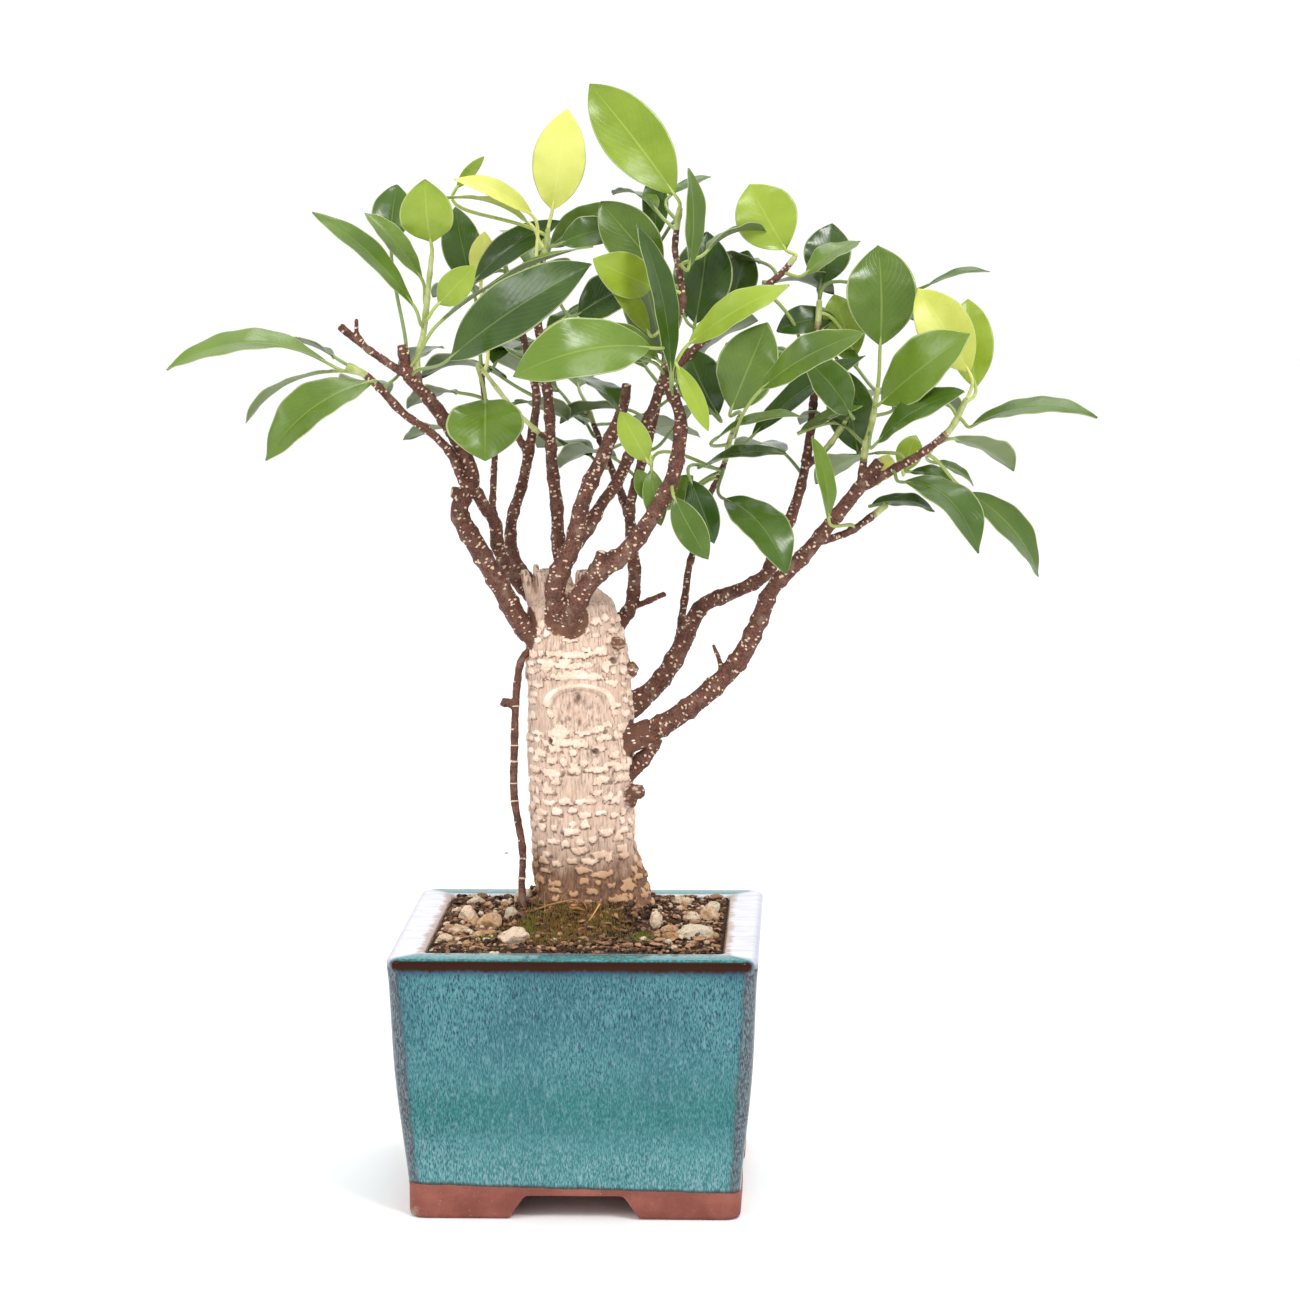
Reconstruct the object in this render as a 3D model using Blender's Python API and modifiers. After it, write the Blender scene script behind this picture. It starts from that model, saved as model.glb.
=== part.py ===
"""Bonsai fig in a square glazed pot.

The plant is made of a thick trunk, one aerial root, the branches and separate leaves.
The pot is one fired piece with corner feet, filled with soil, pebbles and moss.
Places on the plant are given in millimetres from the point where the pot's axis meets
the soil, X to the right, Y to the back and Z up. The finished plant is then moved so
that the middle of its box is over the origin.
"""

import math
import random
from dataclasses import dataclass

import bmesh
import bpy
from mathutils import Matrix, Vector

MM = 0.001

# Where the pot's axis stands, so that the middle of the whole box is over the origin.
POT_AXIS = Vector((-21.8, -30.2, 0.0)) * MM

# Clearances
GAP = 0.3 * MM
CUT_RUN = 5.0 * MM

# Pot
POT_HEIGHT = 109.0 * MM
RIM_HALF = 75.0 * MM
POT_TAPER = 7.5 * MM
POT_CORNER = 6.0 * MM
POT_WALL = 7.0 * MM
LIP_WIDTH = 15.0 * MM
LIP_THICKNESS = 9.0 * MM
RIM_ROUND = 2.4 * MM
FOOT_HEIGHT = 10.0 * MM
FOOT_RING = 15.0 * MM
FLOOR_THICKNESS = 7.0 * MM
ARCH_TOP = 40.0 * MM
ARCH_BOTTOM = 54.0 * MM
DRAIN_RADIUS = 10.0 * MM

# Drain mesh
DRAIN_MESH_HALF = 16.0 * MM
DRAIN_MESH_THICKNESS = 1.0 * MM
DRAIN_MESH_HOLE = 3.6 * MM
DRAIN_MESH_PITCH = 5.6 * MM
DRAIN_MESH_HOLES = 5

# Soil
SOIL_DROP = 1.0 * MM
MOUND_MARGIN = 2.0 * MM
MOUND_SLOPE_RUN = 18.0 * MM
MOUND_HEIGHT = 10.5 * MM
MOUND_SPOT = Vector((0.0, 15.0, 0.0)) * MM

# Trunk
TRUNK_LINE = (
    (1, 16, -24), (2, 16, -4), (3, 16, 13), (0, 16, 29), (-1, 15, 52), (-1, 15, 70),
    (-1, 15, 90), (-2, 14, 109), (-4, 14, 123), (-5, 13, 135), (-5, 13, 142),
)
TRUNK_RADII = (17, 26, 23.6, 21.8, 22.0, 23.0, 22.4, 21.8, 20.5, 18.5, 13.5)
FLARE_TOP = 20.0 * MM
FLARE_REACH = 7.0 * MM
FLARE_ROOTS = 4
FLARE_TURN = math.radians(-28.0)

# Leaves
PETIOLE_RADIUS = 0.8 * MM
LEAF_THICKNESS = 0.5 * MM
LEAF_KEEL = 0.22
BLADE_OUTLINE = (
    (0.0, 0.07), (0.1, 0.42), (0.28, 0.83), (0.5, 1.0), (0.7, 0.88), (0.87, 0.5),
    (0.96, 0.17), (1.0, 0.03),
)
PETIOLE_STEPS = 3

# The ways a blade's upper side can look
UP = (0.0, -0.35, 1.0)
FRONT = (0.0, -1.0, 0.15)
SLANT = (0.0, -0.85, 0.55)

# Materials: colour, roughness
GLAZE = ("glaze", (0.06, 0.27, 0.28), 0.15)
SOIL_MIX = ("soil_mix", (0.075, 0.04, 0.022), 0.95)
MESH_PLASTIC = ("mesh_plastic", (0.02, 0.02, 0.02), 0.6)
MOSS_GREEN = ("moss", (0.09, 0.13, 0.02), 0.95)
STONE = ("stone", (0.55, 0.42, 0.28), 0.85)
TRUNK_BARK = ("trunk_bark", (0.42, 0.3, 0.2), 0.85)
TWIG_BARK = ("twig_bark", (0.13, 0.055, 0.035), 0.65)
LEAF_DARK = ("leaf_dark", (0.03, 0.1, 0.02), 0.35)
LEAF_MID = ("leaf_mid", (0.07, 0.19, 0.03), 0.35)
LEAF_YOUNG = ("leaf_young", (0.3, 0.48, 0.04), 0.4)


@dataclass(frozen=True)
class Limb:
    """A tapering length of wood along points in millimetres."""

    base_radius: float
    tip_radius: float
    line: tuple


@dataclass(frozen=True)
class Leaf:
    """A leaf held at a share of a limb's length, with its blade's two ends."""

    limb: str
    share: float
    base: tuple
    tip: tuple
    width: float
    face: tuple = SLANT
    arch: float = 0.08
    finish: tuple = LEAF_DARK


@dataclass(frozen=True)
class MouthPiece:
    """Something that lies on the soil: its place, half sizes and turn."""

    place: tuple
    size: tuple
    turn: float


STUBS = (
    Limb(3.4, 2.2, ((-18, 12, 130), (-22, 10, 141), (-24, 9, 149))),
    Limb(4.4, 4.0, ((-13, 10, 130), (-14, 8, 142), (-15, 7, 149))),
    Limb(4.6, 4.2, ((1, 12, 130), (2, 11, 142), (2, 10, 148))),
    Limb(5.0, 2.4, ((14, 13, 54), (21, 12, 55), (25, 11, 57))),
    Limb(5.5, 2.2, ((12, 12, 60), (23, 10, 67), (30, 9, 73))),
)

LIMBS = {
    "left_outer": Limb(4.6, 2.2, (
        (-14, 11, 118), (-25, 5, 127), (-33, 3, 142), (-42, 2, 158), (-50, 2, 173),
        (-47, 3, 182), (-45, 4, 189), (-50, 4, 202), (-58, 3, 215), (-64, 2, 223),
        (-70, 1, 230), (-73, 1, 243))),
    "left_stub": Limb(2.8, 2.4, ((-47, 3, 181), (-53, 1, 182))),
    "left_side": Limb(1.9, 1.6, (
        (-46, 3, 183), (-50, 1, 190), (-53, 0, 198), (-60, -2, 206), (-73, -4, 216),
        (-85, -5, 229), (-95, -6, 235))),
    "left_upper": Limb(1.8, 1.5, ((-68, 2, 229), (-76, -1, 234), (-86, -2, 241), (-98, -4, 251))),
    "left_bud": Limb(1.2, 0.8, ((-88, -2, 243), (-91, -3, 248), (-91, -3, 254))),
    "left_inner": Limb(3.0, 2.4, (
        (-12, 18, 128), (-28, 16, 144), (-35, 15, 157), (-36, 14, 167), (-40, 10, 175),
        (-45, 5, 185))),
    "left_thin": Limb(1.5, 1.2, (
        (-36, 15, 167), (-38, 24, 175), (-38, 30, 185), (-38, 32, 198), (-42, 33, 220),
        (-43, 32, 233))),
    "left_green": Limb(1.5, 1.1, (
        (-66, 2, 226), (-67, 3, 236), (-64, 2, 248), (-62, 1, 264), (-60, 0, 280))),
    "back_left": Limb(3.0, 1.1, (
        (-10, 20, 132), (-28, 28, 148), (-31, 31, 165), (-26, 32, 183), (-22, 33, 203),
        (-20, 34, 220), (-24, 38, 238), (-30, 43, 258), (-34, 46, 276))),
    "back_left_cut": Limb(1.7, 1.5, ((-24, 33, 196), (-29, 33, 205), (-33, 34, 215))),
    "mid_back": Limb(3.1, 1.2, (
        (-6, 18, 132), (-10, 22, 154), (-11, 24, 173), (-13, 24, 193), (-14, 24, 216),
        (-16, 23, 235), (-18, 20, 253), (-16, 16, 273), (-13, 13, 290))),
    "mid_back_green": Limb(1.2, 1.0, (
        (-14, 24, 201), (-22, 19, 209), (-28, 17, 215), (-34, 14, 223), (-41, 10, 233))),
    "front_main": Limb(5.0, 2.0, (
        (-5, 8, 120), (-8, -4, 133), (-10, -7, 142), (-7, -7, 152), (-2, -6, 162),
        (1, -6, 176), (5, -5, 187), (10, -5, 197), (14, -4, 207), (18, -3, 216),
        (20, -2, 227))),
    "front_fork": Limb(2.8, 1.9, (
        (-4, -6, 158), (4, -1, 168), (9, 4, 177), (15, 7, 185), (20, 9, 196),
        (25, 10, 206), (30, 11, 216), (34, 12, 227))),
    "front_right": Limb(4.6, 2.0, (
        (-4, 5, 122), (-2, -9, 135), (8, -13, 150), (20, -14, 159), (31, -15, 174),
        (39, -15, 189), (42, -15, 204), (42, -14, 216), (37, -13, 229), (37, -11, 242))),
    "front_cut": Limb(2.6, 2.4, ((8, -13, 149), (10, -16, 159))),
    "top_centre": Limb(1.7, 1.3, (
        (37, -11, 240), (38, -9, 250), (43, -6, 259), (42, -4, 272), (40, -2, 283),
        (42, 0, 299))),
    "top_right": Limb(1.8, 1.3, (
        (34, 12, 225), (45, 15, 238), (57, 18, 249), (68, 20, 259), (82, 21, 270),
        (89, 22, 278))),
    "back_main": Limb(3.2, 1.5, (
        (6, 25, 118), (18, 33, 128), (21, 34, 142), (20, 36, 156), (19, 40, 172),
        (23, 47, 188), (28, 56, 206), (32, 64, 226))),
    "back_twig": Limb(1.4, 1.2, ((20, 33, 130), (27, 33, 133), (34, 33, 136))),
    "back_far": Limb(2.0, 1.2, ((20, 38, 164), (14, 54, 178), (6, 72, 194), (-2, 86, 212))),
    "right_upper": Limb(4.4, 1.3, (
        (8, 19, 82), (24, 21, 93), (31, 22, 99), (39, 23, 111), (45, 23, 124),
        (50, 23, 132), (58, 23, 136), (68, 23, 140), (77, 23, 146), (81, 23, 157),
        (87, 23, 169), (92, 23, 185), (95, 23, 203), (97, 24, 223), (98, 26, 242),
        (99, 28, 260))),
    "right_fork": Limb(1.5, 1.2, ((93, 23, 190), (103, 17, 200), (110, 13, 211))),
    "right_thin": Limb(1.7, 1.1, (
        (39, 23, 110), (40, 31, 120), (42, 37, 133), (44, 38, 147), (49, 37, 164),
        (53, 32, 178), (59, 24, 191), (62, 14, 203), (66, 6, 213))),
    "right_lower": Limb(5.0, 2.4, (
        (8, 10, 74), (26, 9, 80), (39, 8, 87), (53, 7, 98), (66, 6, 112),
        (74, 5, 128), (80, 4, 142), (93, 2, 156), (106, 0, 172), (117, -1, 186),
        (124, -2, 195))),
    "right_twiglet": Limb(1.2, 0.8, ((56, 7, 102), (58, 6, 109), (55, 5, 118))),
    "right_tip": Limb(2.0, 1.3, (
        (117, -1, 184), (128, -4, 191), (140, -6, 198), (152, -8, 208), (159, -9, 221))),
    "right_rise": Limb(1.7, 1.2, ((116, -1, 185), (118, 1, 200), (121, 3, 212), (123, 4, 225))),
    "right_level": Limb(1.7, 1.4, ((98, 1, 161), (111, 5, 165), (119, 8, 170), (127, 10, 176))),
}

BRANCHES = {
    "branch_left": ("left_outer", "left_stub", "left_side", "left_upper", "left_bud",
                    "left_inner", "left_thin", "left_green"),
    "branch_back_left": ("back_left", "back_left_cut"),
    "branch_mid_back": ("mid_back", "mid_back_green"),
    "branch_front": ("front_main", "front_fork", "front_right", "front_cut", "top_centre",
                     "top_right"),
    "branch_back": ("back_main", "back_twig", "back_far"),
    "branch_right_upper": ("right_upper", "right_fork", "right_thin"),
    "branch_right_lower": ("right_lower", "right_twiglet", "right_tip", "right_rise",
                           "right_level"),
}

LEAVES = {
    "leaf_far_left": Leaf("left_side", 0.96, (-103, -6, 236), (-167, -20, 234), 23, UP, 0.17),
    "leaf_left_thin": Leaf("left_side", 0.9, (-101, 5, 232), (-140, 12, 210), 15,
                           (-0.1, 0.1, 1.0), 0.12, LEAF_MID),
    "leaf_left_low": Leaf("left_side", 0.8, (-84, -13, 229), (-126, -30, 198), 24,
                          (-0.35, -0.7, 0.6), 0.14),
    "leaf_left_narrow": Leaf("left_green", 0.45, (-67, -5, 259), (-107, -15, 298), 14,
                             (0.5, -0.6, 0.7), 0.08, LEAF_MID),
    "leaf_left_inner": Leaf("left_green", 0.62, (-65, 6, 270), (-89, 13, 297), 13,
                            (0.6, -0.6, 0.5), 0.08, LEAF_MID),
    "leaf_left_yellow": Leaf("left_green", 1.0, (-60, -3, 285), (-61, -14, 311), 22, FRONT,
                             0.1, LEAF_YOUNG),
    "leaf_left_small": Leaf("left_green", 0.5, (-57, -8, 260), (-41, -16, 276), 13, FRONT,
                            0.06, LEAF_MID),
    "leaf_left_edge": Leaf("left_outer", 0.93, (-56, -4, 253), (7, -12, 284), 18,
                           (-0.35, -0.05, 1.0), 0.06, LEAF_MID),
    "leaf_left_big": Leaf("left_outer", 0.9, (-52, -17, 238), (8, -38, 277), 27,
                          (-0.1, -0.85, 0.5), 0.06),
    "leaf_heart": Leaf("mid_back_green", 1.0, (-38, -6, 221), (-37, -22, 197), 32,
                       (0.0, -0.9, 0.5), 0.1),
    "leaf_pale_long": Leaf("mid_back", 0.95, (-20, 10, 292), (-58, -8, 302), 15,
                           (0.1, 0.1, 1.0), 0.12, LEAF_YOUNG),
    "leaf_bright_top": Leaf("mid_back", 1.0, (-11, 10, 298), (-4, 2, 339), 22, FRONT,
                            0.05, LEAF_YOUNG),
    "leaf_front": Leaf("front_right", 0.97, (31, -42, 244), (-22, -64, 234), 28, SLANT, 0.14),
    "leaf_centre_long": Leaf("front_right", 0.86, (39, -27, 232), (26, -30, 293), 15,
                             (0.8, -0.65, 0.1), 0.06),
    "leaf_bright_right": Leaf("front_right", 0.93, (46, -16, 244), (87, -24, 268), 17,
                              (-0.2, -0.7, 0.7), 0.08, LEAF_YOUNG),
    "leaf_hanging": Leaf("front_right", 0.6, (40, -22, 182), (54, -26, 157), 13, FRONT,
                         0.08, LEAF_MID),
    "leaf_top": Leaf("top_centre", 1.0, (40, -1, 304), (5, 6, 349), 29, (0.15, -1.0, 0.0), 0.04),
    "leaf_top_folded": Leaf("top_centre", 0.6, (46, -13, 275), (46, -8, 315), 15,
                            (0.85, -0.5, 0.0), 0.05, LEAF_MID),
    "leaf_round": Leaf("top_centre", 0.42, (32, -14, 267), (8, -29, 279), 18, FRONT, 0.05,
                       LEAF_MID),
    "leaf_centre_dark": Leaf("top_right", 0.3, (47, 29, 250), (52, 36, 288), 25, FRONT, 0.06),
    "leaf_upper_right": Leaf("top_right", 1.0, (85, 23, 281), (70, 26, 308), 26, FRONT, 0.05,
                             LEAF_MID),
    "leaf_upper_flat": Leaf("top_right", 0.9, (93, 20, 271), (116, 28, 284), 15, UP, 0.08,
                            LEAF_MID),
    "leaf_right_behind": Leaf("right_upper", 1.0, (99, 40, 266), (104, 47, 291), 20, FRONT, 0.06),
    "leaf_right_inner": Leaf("right_fork", 1.0, (112, -2, 214), (92, -17, 239), 18,
                             (0.35, -0.8, 0.3), 0.06),
    "leaf_mid_right": Leaf("right_thin", 1.0, (63, -14, 217), (78, -22, 253), 25,
                           (-0.2, -1.0, 0.1), 0.06),
    "leaf_mid_light": Leaf("right_thin", 0.92, (76, -34, 227), (117, -48, 250), 18,
                           (-0.2, -0.75, 0.65), 0.1, LEAF_MID),
    "leaf_mid_long": Leaf("right_thin", 0.85, (71, 12, 204), (118, 5, 238), 15,
                          (-0.2, -0.6, 0.8), 0.06),
    "leaf_droop_mid": Leaf("right_thin", 0.75, (60, 2, 179), (86, -22, 151), 22,
                           (0.4, -0.75, 0.5), 0.14),
    "leaf_right_big": Leaf("right_rise", 1.0, (124, 6, 242), (123, 13, 283), 29, FRONT, 0.06),
    "leaf_right_olive": Leaf("right_rise", 0.8, (124, -17, 220), (159, -34, 249), 25,
                             (-0.2, -0.85, 0.5), 0.07, LEAF_MID),
    "leaf_right_dark": Leaf("right_rise", 0.5, (122, -24, 204), (157, -42, 226), 18,
                            (-0.2, -0.6, 0.8), 0.08),
    "leaf_yellow_front": Leaf("right_tip", 1.0, (160, -13, 232), (139, -8, 266), 22, FRONT,
                              0.06, LEAF_YOUNG),
    "leaf_yellow_back": Leaf("right_tip", 0.97, (163, -2, 225), (160, 8, 261), 19, FRONT,
                             0.06, LEAF_YOUNG),
    "leaf_far_right": Leaf("right_tip", 0.85, (161, -12, 210), (211, -24, 214), 18, UP,
                           0.13, LEAF_MID),
    "leaf_droop_right": Leaf("right_tip", 0.25, (133, -20, 188), (163, -48, 162), 23,
                             (0.35, -0.5, 0.8), 0.2),
    "leaf_droop_far": Leaf("right_tip", 0.5, (160, 2, 182), (190, 10, 146), 19,
                           (0.5, -0.6, 0.6), 0.12),
    "leaf_back_low": Leaf("back_far", 0.85, (10, 92, 204), (38, 124, 190), 23,
                          (0.1, 0.35, 1.0), 0.12),
    "leaf_back_far": Leaf("back_far", 1.0, (-6, 96, 219), (-22, 135, 226), 24,
                          (0.0, 0.3, 1.0), 0.12, LEAF_MID),
    "leaf_back_left": Leaf("back_far", 0.92, (-14, 90, 218), (-58, 100, 244), 24,
                           (0.0, 0.7, 0.7), 0.1),
    "leaf_back_right": Leaf("back_main", 0.93, (42, 72, 228), (72, 104, 248), 25,
                            (0.0, 0.7, 0.7), 0.1),
    "leaf_back_top": Leaf("back_main", 1.0, (32, 68, 235), (20, 88, 280), 26,
                          (0.1, 1.0, 0.2), 0.06),
}

# Moss and pebbles: place in the pot's mouth as shares of its half width, half sizes in
# millimetres and turn
MOSS = MouthPiece((-0.15, -0.23), (17.0, 11.0, 5.5), 0.0)
PEBBLES = {
    "pebble_front": MouthPiece((-0.43, -0.68), (6.5, 5.0, 4.2), 0.3),
    "pebble_left": MouthPiece((-0.63, -0.13), (5.2, 4.2, 4.4), 1.1),
    "pebble_left_back": MouthPiece((-0.82, 0.15), (5.0, 4.0, 3.4), 2.0),
    "pebble_right": MouthPiece((0.88, 0.15), (4.8, 4.2, 4.6), 0.6),
    "pebble_right_front": MouthPiece((0.78, -0.42), (7.4, 4.6, 3.6), 0.2),
}
MOSS_SINK = 3.2 * MM
PEBBLE_LIFT = 1.0 * MM
PEBBLE_ROUGHNESS = 0.12
SEED = 7

FOOT_HALF = RIM_HALF - POT_TAPER
FLOOR_TOP = FOOT_HEIGHT + FLOOR_THICKNESS
LIP_UNDERSIDE = POT_HEIGHT - LIP_THICKNESS
MOUTH_HALF = RIM_HALF - LIP_WIDTH
INNER_CORNER = POT_CORNER - RIM_ROUND
SOIL_LEVEL = POT_HEIGHT - SOIL_DROP
MOUND_RADIUS = MOUTH_HALF - MOUND_MARGIN - MOUND_SPOT.y
MOUND_TOP_RADIUS = MOUND_RADIUS - MOUND_SLOPE_RUN


def on_plant(place):
    """Turn a place on the plant, in millimetres, into one in metres from the feet."""
    return Vector(place) * MM + Vector((0.0, 0.0, SOIL_LEVEL))


def soil_top(x, y):
    """Return the height of the soil's surface, flat near the lip and mounded inside."""
    away = math.hypot(x - MOUND_SPOT.x, y - MOUND_SPOT.y)
    climb = (MOUND_RADIUS - away) / MOUND_SLOPE_RUN
    return SOIL_LEVEL + MOUND_HEIGHT * min(max(climb, 0.0), 1.0)


def inner_half(height):
    """Return half the width inside the pot's wall at a height."""
    return FOOT_HALF + POT_TAPER * height / POT_HEIGHT - POT_WALL


def clear_scene():
    """Remove everything the start-up file holds."""
    for item in list(bpy.data.objects):
        bpy.data.objects.remove(item, do_unlink=True)


def new_collection(name):
    """Make a collection under the scene."""
    made = bpy.data.collections.new(name)
    bpy.context.scene.collection.children.link(made)
    return made


clear_scene()
PARTS = new_collection("bonsai_in_pot")
CUTTERS = new_collection("cutters")


def new_object(name, mesh):
    """Put a mesh in the parts collection as an object."""
    made = bpy.data.objects.new(name, mesh)
    PARTS.objects.link(made)
    return made


def from_bmesh(name, bm):
    """Turn a bmesh into a smooth-shaded object."""
    bmesh.ops.recalc_face_normals(bm, faces=bm.faces)
    mesh = bpy.data.meshes.new(name)
    bm.to_mesh(mesh)
    bm.free()
    return new_object(name, mesh)


def finish(item, look):
    """Give an object its own material and smooth shading."""
    label, colour, roughness = look
    material = bpy.data.materials.new(f"{item.name}_{label}")
    material.use_nodes = True
    surface = material.node_tree.nodes["Principled BSDF"]
    surface.inputs["Base Color"].default_value = (*colour, 1.0)
    surface.inputs["Roughness"].default_value = roughness
    surface.inputs["Metallic"].default_value = 0.0
    item.data.materials.clear()
    item.data.materials.append(material)
    item.data.shade_smooth()
    return item


def as_tool(item):
    """Move an object to the cutters."""
    PARTS.objects.unlink(item)
    CUTTERS.objects.link(item)
    item.hide_render = True
    item.display_type = "WIRE"
    return item


def combine(item, tool, operation):
    """Add an exact Boolean of a tool to an object."""
    if tool.name not in CUTTERS.objects:
        as_tool(tool)
    step = item.modifiers.new(tool.name, "BOOLEAN")
    step.operation = operation
    step.solver = "EXACT"
    step.object = tool
    return item


def cut(item, tool):
    """Take a tool's shape out of an object."""
    return combine(item, tool, "DIFFERENCE")


def join(item, tool):
    """Make a tool's shape part of an object."""
    return combine(item, tool, "UNION")


def tapered_box(name, low_half, high_half, low, high, corner=0.0, steps=3):
    """Make an upright square block whose half width changes from bottom to top."""
    bm = bmesh.new()
    bmesh.ops.create_cube(bm, size=2.0)
    for vertex in bm.verts:
        top = vertex.co.z > 0
        half = high_half if top else low_half
        vertex.co = Vector((vertex.co.x * half, vertex.co.y * half, high if top else low))
    if corner:
        upright = [e for e in bm.edges if abs(e.verts[0].co.z - e.verts[1].co.z) > MM]
        bmesh.ops.bevel(bm, geom=upright, offset=corner, segments=steps, profile=0.5,
                        affect="EDGES")
    return from_bmesh(name, bm)


def cylinder(name, low_radius, high_radius, low, high, centre, sides=32):
    """Make an upright round block or a cone without its point."""
    bm = bmesh.new()
    place = Matrix.Translation((centre.x, centre.y, (low + high) / 2))
    bmesh.ops.create_cone(bm, cap_ends=True, segments=sides, radius1=low_radius,
                          radius2=high_radius, depth=high - low, matrix=place)
    return from_bmesh(name, bm)


def tube(name, limb, grow=0.0, resolution=2):
    """Make a closed tapering tube along a limb's points, thicker by grow."""
    base, tip = limb.base_radius * MM, limb.tip_radius * MM
    steps = len(limb.line) - 1
    radii = [base + (tip - base) * i / steps + grow for i in range(steps + 1)]
    return tube_through(name, limb.line, radii, resolution)


def tube_through(name, line, radii, resolution):
    """Make a closed tube along points in millimetres, with a radius at each one."""
    curve = bpy.data.curves.new(name, "CURVE")
    curve.dimensions = "3D"
    curve.bevel_depth = max(radii)
    curve.bevel_resolution = resolution
    curve.use_fill_caps = True
    spline = curve.splines.new("POLY")
    spline.points.add(len(line) - 1)
    for point, place, radius in zip(spline.points, line, radii):
        point.co = (*on_plant(place), 1.0)
        point.radius = radius / max(radii)
    holder = new_object(name, curve)
    bpy.context.view_layer.update()
    evaluated = holder.evaluated_get(bpy.context.evaluated_depsgraph_get())
    mesh = bpy.data.meshes.new_from_object(evaluated)
    bpy.data.objects.remove(holder, do_unlink=True)
    bpy.data.curves.remove(curve)
    bm = bmesh.new()
    bm.from_mesh(mesh)
    bpy.data.meshes.remove(mesh)
    bmesh.ops.remove_doubles(bm, verts=bm.verts, dist=1e-6)
    return from_bmesh(name, bm)


def make_pot():
    """Make the pot: tapered body, inward lip, corner feet and drain hole."""
    pot = tapered_box("pot", FOOT_HALF, RIM_HALF, 0.0, POT_HEIGHT, POT_CORNER)
    cut(pot, tapered_box("pot_chamber", inner_half(FLOOR_TOP), inner_half(LIP_UNDERSIDE),
                         FLOOR_TOP, LIP_UNDERSIDE, INNER_CORNER))
    cut(pot, tapered_box("pot_mouth", MOUTH_HALF, MOUTH_HALF, LIP_UNDERSIDE - MM,
                         POT_HEIGHT + CUT_RUN, INNER_CORNER))
    hollow = FOOT_HALF - FOOT_RING
    cut(pot, tapered_box("pot_underside", hollow, hollow, -CUT_RUN, FOOT_HEIGHT,
                         INNER_CORNER))
    cut(pot, arch_cutter("pot_arch_side", 0.0))
    cut(pot, arch_cutter("pot_arch_front", math.pi / 2))
    cut(pot, cylinder("pot_drain", DRAIN_RADIUS, DRAIN_RADIUS, FOOT_HEIGHT - CUT_RUN,
                      FLOOR_TOP + CUT_RUN, Vector()))
    edge = pot.modifiers.new("soft_edges", "BEVEL")
    edge.width = RIM_ROUND
    edge.segments = 2
    edge.limit_method = "ANGLE"
    edge.angle_limit = math.radians(60.0)
    edge.use_clamp_overlap = True
    return finish(pot, GLAZE)


def arch_cutter(name, turn):
    """Make the low sloped-sided opening that runs under the pot between its feet."""
    bm = bmesh.new()
    bmesh.ops.create_cube(bm, size=2.0)
    spread = (ARCH_BOTTOM - ARCH_TOP) / 2 * CUT_RUN / FOOT_HEIGHT
    for vertex in bm.verts:
        top = vertex.co.z > 0
        half = ARCH_TOP / 2 if top else ARCH_BOTTOM / 2 + spread
        vertex.co = Vector((vertex.co.x * (RIM_HALF + CUT_RUN), vertex.co.y * half,
                            FOOT_HEIGHT if top else -CUT_RUN))
    bmesh.ops.rotate(bm, verts=bm.verts, cent=(0, 0, 0), matrix=Matrix.Rotation(turn, 3, "Z"))
    return from_bmesh(name, bm)


def make_drain_mesh():
    """Make the flat plastic net that keeps the soil off the drain hole."""
    low = FLOOR_TOP + GAP
    net = tapered_box("drain_mesh", DRAIN_MESH_HALF, DRAIN_MESH_HALF, low,
                      low + DRAIN_MESH_THICKNESS)
    bm = bmesh.new()
    first = -(DRAIN_MESH_HOLES - 1) / 2 * DRAIN_MESH_PITCH
    for column in range(DRAIN_MESH_HOLES):
        for row in range(DRAIN_MESH_HOLES):
            place = Matrix.Translation((first + column * DRAIN_MESH_PITCH,
                                        first + row * DRAIN_MESH_PITCH, low))
            bmesh.ops.create_cube(bm, size=1.0, matrix=place @ Matrix.Diagonal(
                (DRAIN_MESH_HOLE, DRAIN_MESH_HOLE, CUT_RUN, 1.0)))
    cut(net, from_bmesh("drain_mesh_holes", bm))
    return finish(net, MESH_PLASTIC)


def soil_heap(name, grow=0.0):
    """Make the soil's visible top: the fill of the pot's mouth with its mound."""
    half = MOUTH_HALF - GAP
    top = tapered_box(name, half, half, LIP_UNDERSIDE - 2 * MM, SOIL_LEVEL + grow,
                      INNER_CORNER)
    mound = cylinder(f"{name}_mound", MOUND_RADIUS + grow, MOUND_TOP_RADIUS + grow,
                     SOIL_LEVEL - MM, SOIL_LEVEL + MOUND_HEIGHT + grow, MOUND_SPOT)
    return join(top, mound)


def make_soil():
    """Make the soil, which fills the pot under the lip and rises round the trunk."""
    low, high = FLOOR_TOP + GAP, LIP_UNDERSIDE - GAP
    soil = tapered_box("soil", inner_half(low) - GAP, inner_half(high) - GAP, low, high,
                       INNER_CORNER)
    join(soil, soil_heap("soil_heap"))
    cut(soil, trunk_body("soil_trunk_seat", GAP))
    cut(soil, tube("soil_root_seat", AERIAL_ROOT, GAP, 1))
    room = DRAIN_MESH_HALF + GAP
    cut(soil, tapered_box("soil_net_seat", room, room, 0.0,
                          FLOOR_TOP + DRAIN_MESH_THICKNESS + 2 * GAP))
    for name in PEBBLES:
        cut(soil, pebble_body(f"soil_{name}_seat", name, GAP))
    return finish(soil, SOIL_MIX)


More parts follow.
